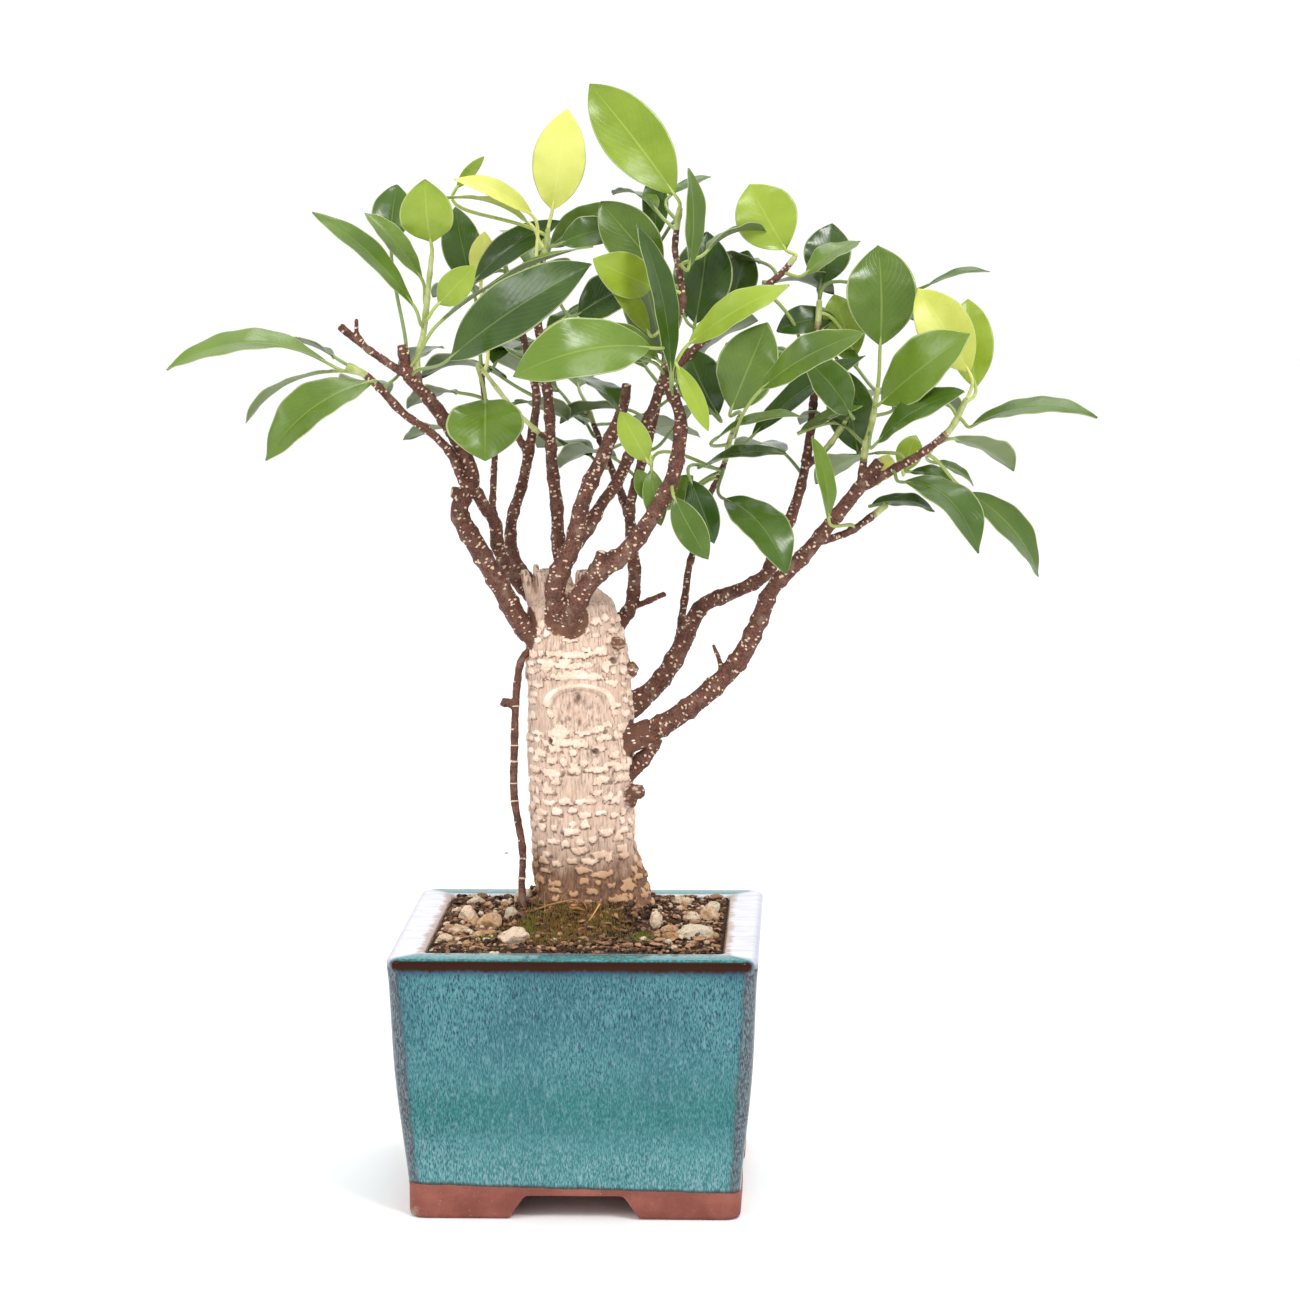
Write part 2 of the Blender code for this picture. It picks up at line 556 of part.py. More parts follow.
def pebble_body(label, name, grow=0.0):
    """Make one rough pebble, larger all round by grow."""
    piece = PEBBLES[name]
    x, y = (share * MOUTH_HALF for share in piece.place)
    dice = random.Random(f"{SEED} {name}")
    bm = bmesh.new()
    bmesh.ops.create_icosphere(bm, subdivisions=2, radius=1.0)
    for vertex in bm.verts:
        vertex.co *= 1.0 + dice.uniform(-PEBBLE_ROUGHNESS, PEBBLE_ROUGHNESS)
        vertex.co = Vector(c * (s * MM + grow) for c, s in zip(vertex.co, piece.size))
    spot = Matrix.Translation((x, y, soil_top(x, y) + PEBBLE_LIFT))
    bmesh.ops.transform(bm, matrix=spot @ Matrix.Rotation(piece.turn, 4, "Z"), verts=bm.verts)
    return from_bmesh(label, bm)


def make_moss():
    """Make the moss cushion, which lies on the soil before the trunk."""
    bm = bmesh.new()
    bmesh.ops.create_icosphere(bm, subdivisions=3, radius=1.0)
    x, y = (share * MOUTH_HALF for share in MOSS.place)
    spot = Vector((x, y, soil_top(x, y) - MOSS_SINK))
    for vertex in bm.verts:
        vertex.co = spot + Vector(c * s * MM for c, s in zip(vertex.co, MOSS.size))
    moss = from_bmesh("moss", bm)
    cut(moss, soil_heap("moss_seat", GAP))
    cut(moss, trunk_body("moss_trunk_gap", GAP))
    return finish(moss, MOSS_GREEN)


def trunk_body(name, grow=0.0):
    """Make the trunk with its root flare and stubs, thicker all round by grow."""
    radii = [radius * MM + grow for radius in TRUNK_RADII]
    trunk = tube_through(name, TRUNK_LINE, radii, 6)
    axis = on_plant(TRUNK_LINE[1])
    foot = on_plant(TRUNK_LINE[0]).z
    flare_top = SOIL_LEVEL + FLARE_TOP
    bm = bmesh.new()
    bm.from_mesh(trunk.data)
    bmesh.ops.triangulate(bm, faces=bm.faces, quad_method="FIXED")
    for vertex in bm.verts:
        if vertex.co.z < foot + MM:
            vertex.co.z -= grow
        elif vertex.co.z < flare_top:
            out = Vector((vertex.co.x - axis.x, vertex.co.y - axis.y, 0.0)).normalized()
            angle = math.atan2(out.y, out.x) - FLARE_TURN
            lobe = 0.5 + 0.5 * math.cos(FLARE_ROOTS * angle)
            fall = (flare_top - vertex.co.z) / (flare_top - axis.z)
            vertex.co += out * FLARE_REACH * lobe * min(fall, 1.0)
    bm.to_mesh(trunk.data)
    bm.free()
    for index, stub in enumerate(STUBS):
        join(trunk, tube(f"{name}_stub_{index}", stub, grow, 1))
    return trunk


AERIAL_ROOT = Limb(1.6, 1.4, (
    (-12, 11, 119), (-24, 6, 113), (-27, 5, 100), (-28, 4, 81), (-28, 4, 56),
    (-27, 3, 44), (-26, 2, 31), (-24, 1, 15), (-24, 0, 0), (-23, 0, -8)))
ROOT_KNOT = Limb(1.8, 1.4, ((-27, 5, 92), (-32, 4, 94)))


def make_aerial_root(seat):
    """Make the thin root that leaves the trunk high up and enters the soil."""
    root = tube("aerial_root", AERIAL_ROOT, 0.0, 1)
    join(root, tube("aerial_root_knot", ROOT_KNOT, 0.0, 1))
    cut(root, seat)
    return finish(root, TWIG_BARK)


def make_branch(name, limb_names, seat):
    """Join a branch's limbs and cut its foot to the trunk it grows from."""
    branch = tube(name, LIMBS[limb_names[0]])
    for limb_name in limb_names[1:]:
        join(branch, tube(f"limb_{limb_name}", LIMBS[limb_name], 0.0, 1))
    cut(branch, seat)
    return finish(branch, TWIG_BARK)


def along(limb, share):
    """Return the place, direction and radius at a share of a limb's length, in metres."""
    points = [on_plant(place) for place in limb.line]
    lengths = [(b - a).length for a, b in zip(points, points[1:])]
    left = share * sum(lengths)
    for index, length in enumerate(lengths):
        if left <= length or index == len(lengths) - 1:
            break
        left -= length
    start, end = points[index], points[index + 1]
    part = min(left / length, 1.0)
    steps = (index + part) / len(lengths)
    radius = (limb.base_radius + (limb.tip_radius - limb.base_radius) * steps) * MM
    return start.lerp(end, part), (end - start).normalized(), radius


def petiole_line(leaf, base, axis):
    """Return the stalk's points, from clear of the limb to the blade's foot."""
    spot, direction, radius = along(LIMBS[leaf.limb], leaf.share)
    if leaf.share < 1.0:
        reach = base - spot
        out = (reach - direction * reach.dot(direction)).normalized()
        spot += out * (radius + GAP)
    else:
        out = direction
        spot += out * GAP
    pull = (base - spot).length * 0.4
    first, second = spot + out * pull, base - axis * pull
    line = []
    for step in range(PETIOLE_STEPS):
        t = step / PETIOLE_STEPS
        line.append(spot * (1 - t) ** 3 + first * 3 * t * (1 - t) ** 2
                    + second * 3 * t * t * (1 - t) + base * t ** 3)
    return line, out


def leaf_sections(leaf):
    """List a leaf's sections from stalk to tip: place, half width, side and normal."""
    base, tip = on_plant(leaf.base), on_plant(leaf.tip)
    axis = (tip - base).normalized()
    face = Vector(leaf.face)
    normal = (face - axis * face.dot(axis)).normalized()
    length, half = (tip - base).length, leaf.width * MM / 2
    rise = normal * length * leaf.arch

    centres = [base.lerp(tip, s) + rise * 4 * s * (1 - s) for s, _ in BLADE_OUTLINE]
    halves = [max(share * half, PETIOLE_RADIUS / 2) for _, share in BLADE_OUTLINE]
    start_axis = (centres[1] - centres[0]).normalized()
    stalk, out = petiole_line(leaf, base, start_axis)
    places = stalk + centres
    widths = [PETIOLE_RADIUS] * len(stalk) + halves

    sections = []
    for index, place in enumerate(places):
        before, after = places[max(index - 1, 0)], places[min(index + 1, len(places) - 1)]
        along_leaf = out if index == 0 else (after - before).normalized()
        sections.append([place, widths[index], along_leaf, index < len(stalk)])
    middle = len(stalk) + len(centres) // 2
    normals = {middle: (normal - sections[middle][2] * normal.dot(sections[middle][2]))}
    for index in list(range(middle - 1, -1, -1)) + list(range(middle + 1, len(sections))):
        near = index + 1 if index < middle else index - 1
        turn = sections[near][2].rotation_difference(sections[index][2])
        normals[index] = (turn @ normals[near]).normalized()
    for index, section in enumerate(sections):
        section.append(normals[index].normalized())
    return sections


def make_leaf(name, leaf):
    """Loft a leaf from its round stalk to its flat, keeled blade."""
    bm = bmesh.new()
    rings = []
    thin = LEAF_THICKNESS / 2
    for place, half, direction, is_stalk, normal in leaf_sections(leaf):
        side = direction.cross(normal).normalized()
        if is_stalk:
            corners = [(math.cos(math.pi * k / 3) * half, math.sin(math.pi * k / 3) * half)
                       for k in range(6)]
        else:
            lift = LEAF_KEEL * half
            inner = half * 0.4
            corners = [(half, lift), (inner, lift * 0.3 + thin), (-inner, lift * 0.3 + thin),
                       (-half, lift), (-inner, lift * 0.3 - thin), (inner, lift * 0.3 - thin)]
        rings.append([bm.verts.new(place + side * x + normal * y) for x, y in corners])
    for ring, following in zip(rings, rings[1:]):
        for k in range(6):
            bm.faces.new((ring[k], ring[(k + 1) % 6], following[(k + 1) % 6], following[k]))
    bm.faces.new(reversed(rings[0]))
    bm.faces.new(rings[-1])
    bmesh.ops.triangulate(bm, faces=bm.faces)
    return finish(from_bmesh(name, bm), leaf.finish)


def build():
    """Make every piece and stand the plant over the origin."""
    make_pot()
    make_drain_mesh()
    make_soil()
    make_moss()
    for name in PEBBLES:
        finish(pebble_body(name, name), STONE)
    finish(trunk_body("trunk"), TRUNK_BARK)
    seat = as_tool(trunk_body("trunk_clearance", GAP))
    make_aerial_root(seat)
    for name, limb_names in BRANCHES.items():
        make_branch(name, limb_names, seat)
    for name, leaf in LEAVES.items():
        make_leaf(name, leaf)
    for item in list(PARTS.objects) + list(CUTTERS.objects):
        item.location = POT_AXIS


build()
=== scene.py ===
"""Bonsai fig in a square glazed pot: its finished look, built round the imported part.

Places on the plant are in millimetres from the point where the pot's axis meets the soil,
X to the right, Y to the back and Z up. Everything in the meshes is in metres.
"""

import logging
import math
import random
from collections.abc import Callable, Iterable, Sequence
from dataclasses import dataclass, field
from enum import Enum

import bmesh
import bpy
import numpy as np
from mathutils import Matrix, Vector, kdtree, noise


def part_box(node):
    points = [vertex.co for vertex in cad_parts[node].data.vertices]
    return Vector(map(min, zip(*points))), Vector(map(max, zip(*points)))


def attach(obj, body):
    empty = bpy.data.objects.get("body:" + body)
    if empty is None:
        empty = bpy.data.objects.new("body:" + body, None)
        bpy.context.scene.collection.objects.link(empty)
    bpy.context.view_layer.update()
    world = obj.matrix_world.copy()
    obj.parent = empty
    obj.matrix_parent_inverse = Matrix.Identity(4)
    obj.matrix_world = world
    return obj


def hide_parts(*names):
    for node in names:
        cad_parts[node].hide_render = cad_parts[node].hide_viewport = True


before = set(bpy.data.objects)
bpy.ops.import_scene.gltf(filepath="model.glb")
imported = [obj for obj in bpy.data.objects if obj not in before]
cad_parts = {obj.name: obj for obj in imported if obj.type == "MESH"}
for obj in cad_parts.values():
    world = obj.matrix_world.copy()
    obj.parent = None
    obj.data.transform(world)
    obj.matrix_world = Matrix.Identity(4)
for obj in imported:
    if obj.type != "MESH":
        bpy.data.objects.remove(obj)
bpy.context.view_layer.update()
LOG = logging.getLogger("bonsai")

MM = 0.001
SEED = 20
POT_LOW, POT_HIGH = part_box("pot")
AXIS = Vector(((POT_LOW.x + POT_HIGH.x) / 2, (POT_LOW.y + POT_HIGH.y) / 2, 0.0))
SOIL_DROP = 1.0 * MM
NEAR = 0.01 * MM
SOIL_LEVEL = POT_HIGH.z - SOIL_DROP

Place = tuple[float, float, float]
Colour = tuple[float, float, float]
Socket = bpy.types.NodeSocket
Item = bpy.types.Object


def on_plant(place: Sequence[float]) -> Vector:
    """Turn a place on the plant, in millimetres, into one in metres from the feet."""
    return Vector(place) * MM + AXIS + Vector((0.0, 0.0, SOIL_LEVEL))


def soft_step(value: float, low: float, high: float) -> float:
    """Rise smoothly from 0 to 1."""
    t = min(max((value - low) / (high - low), 0.0), 1.0)
    return t * t * (3.0 - 2.0 * t)


def soft_steps(values: np.ndarray, low: float, high: float) -> np.ndarray:
    """Rise smoothly from 0 to 1 for each of many values."""
    t = np.clip((values - low) / (high - low), 0.0, 1.0)
    return t * t * (3.0 - 2.0 * t)


# --------------------------------------------------------------------------- workbench


def pick_only(item: Item) -> Item:
    """Select one object and nothing else.

    Args:
        item: The object to work on.

    Returns:
        The same object.
    """
    for other in bpy.context.selected_objects:
        other.select_set(False)
    item.select_set(True)
    bpy.context.view_layer.objects.active = item
    return item


def newest(name: str) -> Item:
    """Name the object that an operator has just added."""
    item = bpy.context.active_object
    item.name = item.data.name = name
    return pick_only(item)


def apply_all(item: Item) -> Item:
    """Make every modifier's result the object's own mesh.

    Args:
        item: The object that carries them.

    Returns:
        The same object.
    """
    pick_only(item)
    for modifier in list(item.modifiers):
        bpy.ops.object.modifier_apply(modifier=modifier.name)
    return item


def new_mesh(name: str, points: Iterable, faces: Iterable) -> Item:
    """Make an object of points and faces.

    Args:
        name: The object's name.
        points: Its points, in metres.
        faces: The points of each face, seen from outside.

    Returns:
        The new object.
    """
    mesh = bpy.data.meshes.new(name)
    mesh.from_pydata([tuple(p) for p in points], [], [tuple(f) for f in faces])
    mesh.update()
    item = bpy.data.objects.new(name, mesh)
    bpy.context.scene.collection.objects.link(item)
    return item


def add_values(item: Item, name: str, values: np.ndarray) -> None:
    """Store a number at each point of a mesh, for its finish to read."""
    layer = item.data.attributes.new(name, "FLOAT", "POINT")
    layer.data.foreach_set("value", np.asarray(values, np.float32))


def points_of(item: Item) -> np.ndarray:
    """Return a mesh's points as rows of three numbers."""
    flat = np.zeros(len(item.data.vertices) * 3)
    item.data.vertices.foreach_get("co", flat)
    return flat.reshape(-1, 3)


def normals_of(item: Item) -> np.ndarray:
    """Return the direction each point of a mesh faces."""
    flat = np.zeros(len(item.data.vertices) * 3)
    item.data.vertices.foreach_get("normal", flat)
    return flat.reshape(-1, 3)


def move_points(item: Item, points: np.ndarray) -> None:
    """Give a mesh's points new places."""
    item.data.vertices.foreach_set("co", points.ravel())
    item.data.update()


def select_parts(item: Item, kind: str, wanted: Callable[[object], bool]) -> None:
    """Select the parts of a mesh, in edit mode, that pass a test.

    Args:
        item: The object being edited.
        kind: The select mode, VERT or EDGE.
        wanted: The test.
    """
    bpy.ops.mesh.select_mode(type=kind)
    bpy.ops.mesh.select_all(action="DESELECT")
    cage = bmesh.from_edit_mesh(item.data)
    for part in cage.edges if kind == "EDGE" else cage.verts:
        part.select_set(wanted(part))
    cage.select_flush_mode()
    bmesh.update_edit_mesh(item.data)


def cloudy(points: np.ndarray, across: float, up: float) -> np.ndarray:
    """Return smooth noise at many points, with its fineness across and upwards."""
    scaled = points * (across, across, up)
    return np.array([noise.noise(Vector(point)) for point in scaled])


def smooth_line(points: Sequence[Vector], step: float) -> list[tuple[Vector, float]]:
    """Draw a smooth curve through points.

    Args:
        points: The points that it goes through.
        step: About how far apart the curve's own points are.

    Returns:
        The curve's points, each with its share of the way in whole spans.
    """
    ends = [points[0] * 2 - points[1], *points, points[-1] * 2 - points[-2]]
    made = []
    for index in range(1, len(ends) - 2):
        p0, p1, p2, p3 = ends[index - 1:index + 3]
        count = max(int((p2 - p1).length / step), 1)
        for k in range(count):
            t = k / count
            made.append((0.5 * (2 * p1 + (p2 - p0) * t + (2 * p0 - 5 * p1 + 4 * p2 - p3) * t * t
                                + (3 * p1 - p0 - 3 * p2 + p3) * t ** 3), index - 1 + t))
    made.append((points[-1].copy(), float(len(points) - 1)))
    return made


def tube(name: str, line: Sequence[Vector], radii: Sequence[float], turns: int = 3) -> Item:
    """Make a closed round length along a line.

    Args:
        name: The object's name.
        line: The points of its middle, in metres.
        radii: Its radius at each point.
        turns: The bevel's resolution, which sets its number of sides.

    Returns:
        The length as a mesh object.
    """
    curve = bpy.data.curves.new(name, "CURVE")
    curve.dimensions = "3D"
    curve.bevel_depth = 1.0
    curve.bevel_resolution = turns
    curve.use_fill_caps = True
    spline = curve.splines.new("POLY")
    spline.points.add(len(line) - 1)
    for point, place, radius in zip(spline.points, line, radii):
        point.co = (*place, 1.0)
        point.radius = radius
    item = bpy.data.objects.new(name, curve)
    bpy.context.scene.collection.objects.link(item)
    pick_only(item)
    bpy.ops.object.convert(target="MESH")
    return bpy.context.active_object


def join_into(items: Sequence[Item], name: str) -> Item:
    """Join objects into one.

    Args:
        items: The objects.
        name: The name of what they become.

    Returns:
        The joined object.
    """
    pick_only(items[0])
    for item in items[1:]:
        item.select_set(True)
    bpy.ops.object.join()
    return newest(name)


def remove(item: Item) -> None:
    """Take an object out of the scene."""
    bpy.data.objects.remove(item, do_unlink=True)


def finish_piece(item: Item, material: bpy.types.Material, slot: str | None = None,
                 nodes: Iterable[str] = (), smooth: bool = True) -> Item:
    """Dress a finished mesh, and let it ride with the part.

    Args:
        item: The finished object.
        material: What it is dressed in.
        slot: The record's material slot, or None for a piece that has none; not used.
        nodes: The part's nodes that this piece stands for.
        smooth: Whether its faces are shaded as one round surface.

    Returns:
        The same object.
    """
    item.data.materials.clear()
    item.data.materials.append(material)
    if smooth:
        item.data.shade_smooth()
    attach(item, "root")
    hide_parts(*nodes)
    LOG.info("%s: %d faces", item.name, len(item.data.polygons))
    return item


# ---------------------------------------------------------------------------- finishes


class Recipe:
    """Mixes one finish from nodes that end in a single shader."""

    def __init__(self, name: str, roughness: float, gloss: float = 0.5) -> None:
        """Start a finish.

        Args:
            name: The material's name.
            roughness: How dull the surface is.
            gloss: The shader's specular level.
        """
        self.material = bpy.data.materials.new(name)
        self.material.use_nodes = True
        self.tree = self.material.node_tree
        self.shader = self.tree.nodes["Principled BSDF"]
        self.shader.inputs["Roughness"].default_value = roughness
        self.shader.inputs["Specular IOR Level"].default_value = gloss

    def add(self, kind: str, inputs: dict, **settings: object) -> bpy.types.Node:
        """Add a node.

        Args:
            kind: The node's type, without its prefix.
            inputs: Sockets or fixed values by input name or number.
            settings: The node's own settings.

        Returns:
            The node.
        """
        node = self.tree.nodes.new("ShaderNode" + kind)
        for key, value in settings.items():
            setattr(node, key, value)
        for key, value in inputs.items():
            if isinstance(value, Socket):
                self.tree.links.new(value, node.inputs[key])
            elif isinstance(value, tuple) and len(value) == 3 and \
                    node.inputs[key].type == "RGBA":
                node.inputs[key].default_value = (*value, 1.0)
            else:
                node.inputs[key].default_value = value
        return node

    def place(self, stretch: Place = (1.0, 1.0, 1.0),
              start: Sequence[float] = (0, 0, 0)) -> Socket:
        """Read where on the object a point lies."""
        here = self.add("TexCoord", {}).outputs["Object"]
        moved = self.add("VectorMath", {0: here, 1: tuple(start)}, operation="SUBTRACT")
        return self.add("Mapping", {"Vector": moved.outputs[0], "Scale": stretch}).outputs[0]

    def split(self, vector: Socket) -> tuple[Socket, Socket, Socket]:
        """Return a vector's three numbers."""
        return tuple(self.add("SeparateXYZ", {0: vector}).outputs)

    def values(self, name: str) -> Socket:
        """Return the numbers stored on the mesh under a name."""
        return self.add("Attribute", {}, attribute_name=name).outputs["Fac"]

    def grain(self, vector: Socket, scale: float, detail: float = 4.0,
              rough: float = 0.55) -> Socket:
        """Return cloudy noise about 0.5."""
        return self.add("TexNoise", {"Vector": vector, "Scale": scale, "Detail": detail,
                                     "Roughness": rough}).outputs[0]

    def cells(self, vector: Socket, scale: float) -> Socket:
        """Return the distance to the nearest of many scattered points."""
        return self.add("TexVoronoi", {"Vector": vector, "Scale": scale}).outputs["Distance"]

    def sum(self, work: str, a: Socket | float, b: Socket | float = 0.0) -> Socket:
        """Return one sum of two numbers, such as MAXIMUM."""
        return self.add("Math", {0: a, 1: b}, operation=work).outputs[0]

    def plus(self, a: Socket | float, b: Socket | float) -> Socket:
        """Return a + b."""
        return self.sum("ADD", a, b)

    def minus(self, a: Socket | float, b: Socket | float) -> Socket:
        """Return a - b."""
        return self.sum("SUBTRACT", a, b)

    def times(self, a: Socket | float, b: Socket | float) -> Socket:
        """Return a * b."""
        return self.sum("MULTIPLY", a, b)

    def step(self, value: Socket, low: float, high: float, start: float = 0.0,
             end: float = 1.0) -> Socket:
        """Rise smoothly from start to end while a value goes from low to high.

        Args:
            value: What is measured.
            low: Where the rise starts.
            high: Where it ends.
            start: The result below low.
            end: The result above high.

        Returns:
            The result.
        """
        if low > high:
            low, high, start, end = high, low, end, start
        return self.add("MapRange", {"Value": value, "From Min": low, "From Max": high, "To Min": start,
                                     "To Max": end}, interpolation_type="SMOOTHSTEP").outputs[0]

    def mix(self, share: Socket | float, a: Socket | Colour, b: Socket | Colour) -> Socket:
        """Return two colours mixed, with a share of the second."""
        return self.add("Mix", {0: share, 6: a, 7: b}, data_type="RGBA").outputs[2]

    def layer(self, base: Socket, *covers: tuple[Socket, Socket | Colour]) -> Socket:
        """Lay colours over a base, one after another."""
        for share, colour in covers:
            base = self.mix(share, base, colour)
        return base

    def relief(self, height: Socket, depth: float, under: Socket | None = None) -> Socket:
        """Raise the surface by a pattern.

        Args:
            height: The pattern.
            depth: How far 1 stands over 0, in metres.
            under: The relief below this one.

        Returns:
            The normal to give the shader or the next relief.
        """
        inputs = {"Height": height, "Distance": depth, "Strength": 1.0}
        if under is not None:
            inputs["Normal"] = under
        return self.add("Bump", inputs).outputs[0]

    def link(self, value: Socket, name: str) -> None:
        """Lead a value to one of the shader's inputs."""
        self.tree.links.new(value, self.shader.inputs[name])

    def serve(self, colour: Socket, normal: Socket | None = None,
              roughness: Socket | None = None) -> bpy.types.Material:
        """Give the shader its colour, relief and dullness.

        Args:
            colour: The base colour.
            normal: The relief.
            roughness: Dullness that changes over the surface.

        Returns:
            The finished material.
        """
        for key, value in (("Base Color", colour), ("Normal", normal),
                           ("Roughness", roughness)):
            if value is not None:
                self.link(value, key)
        return self.material


# --------------------------------------------------------------------------------- pot


@dataclass(frozen=True)
class GlazeFinish:
    """A turquoise glaze that breaks brown at the edges, over red clay left bare below."""

    pale: Colour = (0.05, 0.205, 0.21)
    deep: Colour = (0.018, 0.118, 0.135)
    speck: Colour = (0.008, 0.028, 0.07)
    green: Colour = (0.006, 0.135, 0.125)
    break_brown: Colour = (0.03, 0.009, 0.004)
    corner_plum: Colour = (0.045, 0.03, 0.04)
    haze: Colour = (0.22, 0.36, 0.4)
    shallow: Colour = (0.05, 0.3, 0.31)
    # Painted reflection: pale lavender for the side lights mirrored in the glaze of the side lips and the
    # inner lip edge
    lip_reflection: Colour = (0.72, 0.7, 0.78)
    # Painted reflection: lilac along the side lips' outer edge
    lip_edge_reflection: Colour = (0.34, 0.35, 0.47)
    soil_stain: Colour = (0.3, 0.16, 0.08)
    clay: Colour = (0.29, 0.09, 0.065)
    clay_dark: Colour = (0.19, 0.053, 0.038)
    worn: Colour = (0.42, 0.32, 0.24)

    def material(self, pot: "Pot") -> bpy.types.Material:
        """Mix the finish for a pot.

        Args:
            pot: The pot, whose sizes set where the glaze ends and breaks.

        Returns:
            The material.
        """
        mix = Recipe("glaze", 0.08, 0.28)
        here = mix.place(start=AXIS)
        x, y, z = mix.split(here)
        far_x, far_y = mix.sum("ABSOLUTE", x), mix.sum("ABSOLUTE", y)
        outer = mix.sum("MAXIMUM", far_x, far_y)
        inner = mix.sum("MINIMUM", far_x, far_y)
        cloud = mix.grain(here, 26.0, 3.0)
        wobble = mix.grain(here, 90.0, 3.0)
        streaks = mix.grain(mix.place((1.0, 1.0, 0.24), AXIS), 2300.0, 2.0, 0.6)
        runs = mix.grain(mix.place((1.0, 1.0, 0.2), AXIS), 700.0, 4.0)
        deepness = mix.plus(mix.step(cloud, 0.35, 0.65, 0.0, 0.6),
                            mix.step(mix.plus(z, mix.times(cloud, 30 * MM)), 60 * MM, 40 * MM, 0.0, 0.7))
        band = mix.times(mix.step(z, 32 * MM, 44 * MM), mix.step(z, 66 * MM, 46 * MM))
        low = mix.step(mix.plus(z, mix.times(wobble, 14 * MM)), 44 * MM, 24 * MM, 0.3, 0.85)
        dark = mix.step(mix.plus(cloud, mix.step(z, 55 * MM, 100 * MM, 0.0, 0.4)), 0.4, 0.85, 0.4, 0.95)
        spots = mix.plus(mix.cells(here, 42.0), mix.times(runs, 0.06))
        top = mix.plus(z, mix.times(streaks, 9.0 * MM))
        half = mix.plus(pot.foot_half, mix.times(z, pot.taper / pot.height))
        corner = mix.minus(mix.plus(inner, mix.times(runs, 5 * MM)), half)
        frost = mix.times(mix.step(corner, -2.6 * MM, -0.9 * MM), mix.step(streaks, 0.4, 0.65, 0.0, 0.5))
        edge = mix.plus(mix.plus(z, mix.times(wobble, 1.6 * MM)), mix.times(runs, 2.6 * MM))
        rim = mix.times(mix.step(edge, 105.2 * MM, 107.2 * MM), mix.step(outer, 73.0 * MM, 73.9 * MM))
        mouth = mix.times(mix.step(outer, 61.6 * MM, 60.8 * MM), mix.step(z, 99.0 * MM, 101.0 * MM))
        flat = mix.step(z, 107.9 * MM, 108.7 * MM)
        sides = mix.step(mix.minus(far_x, far_y), -3.0 * MM, 3.0 * MM, 0.0, 0.95)
        # Painted reflection: the side lips and the inner lip edge turn pale lavender, streaked by noise,
        # for the side lights mirrored in the glaze
        inmost = mix.step(outer, 63.4 * MM, 61.9 * MM, 0.0, 0.8)
        lip_reflection_streaks = mix.grain(mix.place((0.25, 1.0, 1.0), AXIS), 260.0, 4.0)
        lip_reflection_mask = mix.times(mix.sum("MAXIMUM", sides, inmost), mix.step(lip_reflection_streaks, 0.3, 0.55, 0.78, 1.0))
        lip_reflection_mask = mix.times(lip_reflection_mask, mix.step(far_y, 73.2 * MM, 71.4 * MM))
        # Painted reflection: a lilac line along the side lips' outer edge
        outline = mix.times(mix.step(far_x, 71.5 * MM, 74.5 * MM, 0.0, 0.8), sides)
        lines = mix.grain(mix.place((0.12, 1.0, 1.0), AXIS), 900.0, 3.0)
        stain = mix.minus(outer, mix.times(mix.plus(wobble, lines), 6.5 * MM))
        stained = mix.times(mix.step(stain, 57.6 * MM, 55.2 * MM, 0.0, 0.85), sides)
        line = mix.plus(mix.times(x, -0.024), mix.times(wobble, 1.5 * MM))
        above = mix.minus(mix.minus(z, line), pot.glaze_line)
        bare = mix.step(above, 0.25 * MM, -0.15 * MM)
        inside = mix.times(mix.step(outer, pot.foot_half - 3 * MM, pot.foot_half - 4 * MM),
                           mix.step(z, 98 * MM, 96 * MM))
        bare = mix.sum("MAXIMUM", bare, inside)
        grit = mix.grain(here, 1500.0, 2.0)
        blush = mix.grain(here, 70.0, 4.0)
        scuffs = mix.cells(here, 170.0)
        foot = mix.plus(mix.plus(mix.plus(x, y), z), mix.times(mix.grain(here, 330.0, 5.0), -16.0 * MM))
        clay = mix.layer(
            mix.mix(mix.step(blush, 0.35, 0.68), self.clay_dark, self.clay),
            (mix.step(grit, 0.66, 0.74, 0.0, 0.5), self.worn),
            (mix.step(scuffs, 0.07, 0.03, 0.0, 0.4), self.worn),
            (mix.step(foot, -133.5 * MM, -139.5 * MM, 0.0, 0.6), self.worn))
        skin = mix.relief(mix.grain(here, 60.0, 2.0), 0.5 * MM)
        skin = mix.relief(streaks, 0.02 * MM, skin)
        rough = mix.relief(mix.times(mix.plus(grit, blush), bare), 0.25 * MM, skin)
        dull = mix.plus(mix.step(streaks, 0.4, 0.7, 0.05, 0.16), mix.times(bare, 0.6))
        mix.link(mix.minus(0.28, mix.times(rim, 0.2)), "Specular IOR Level")
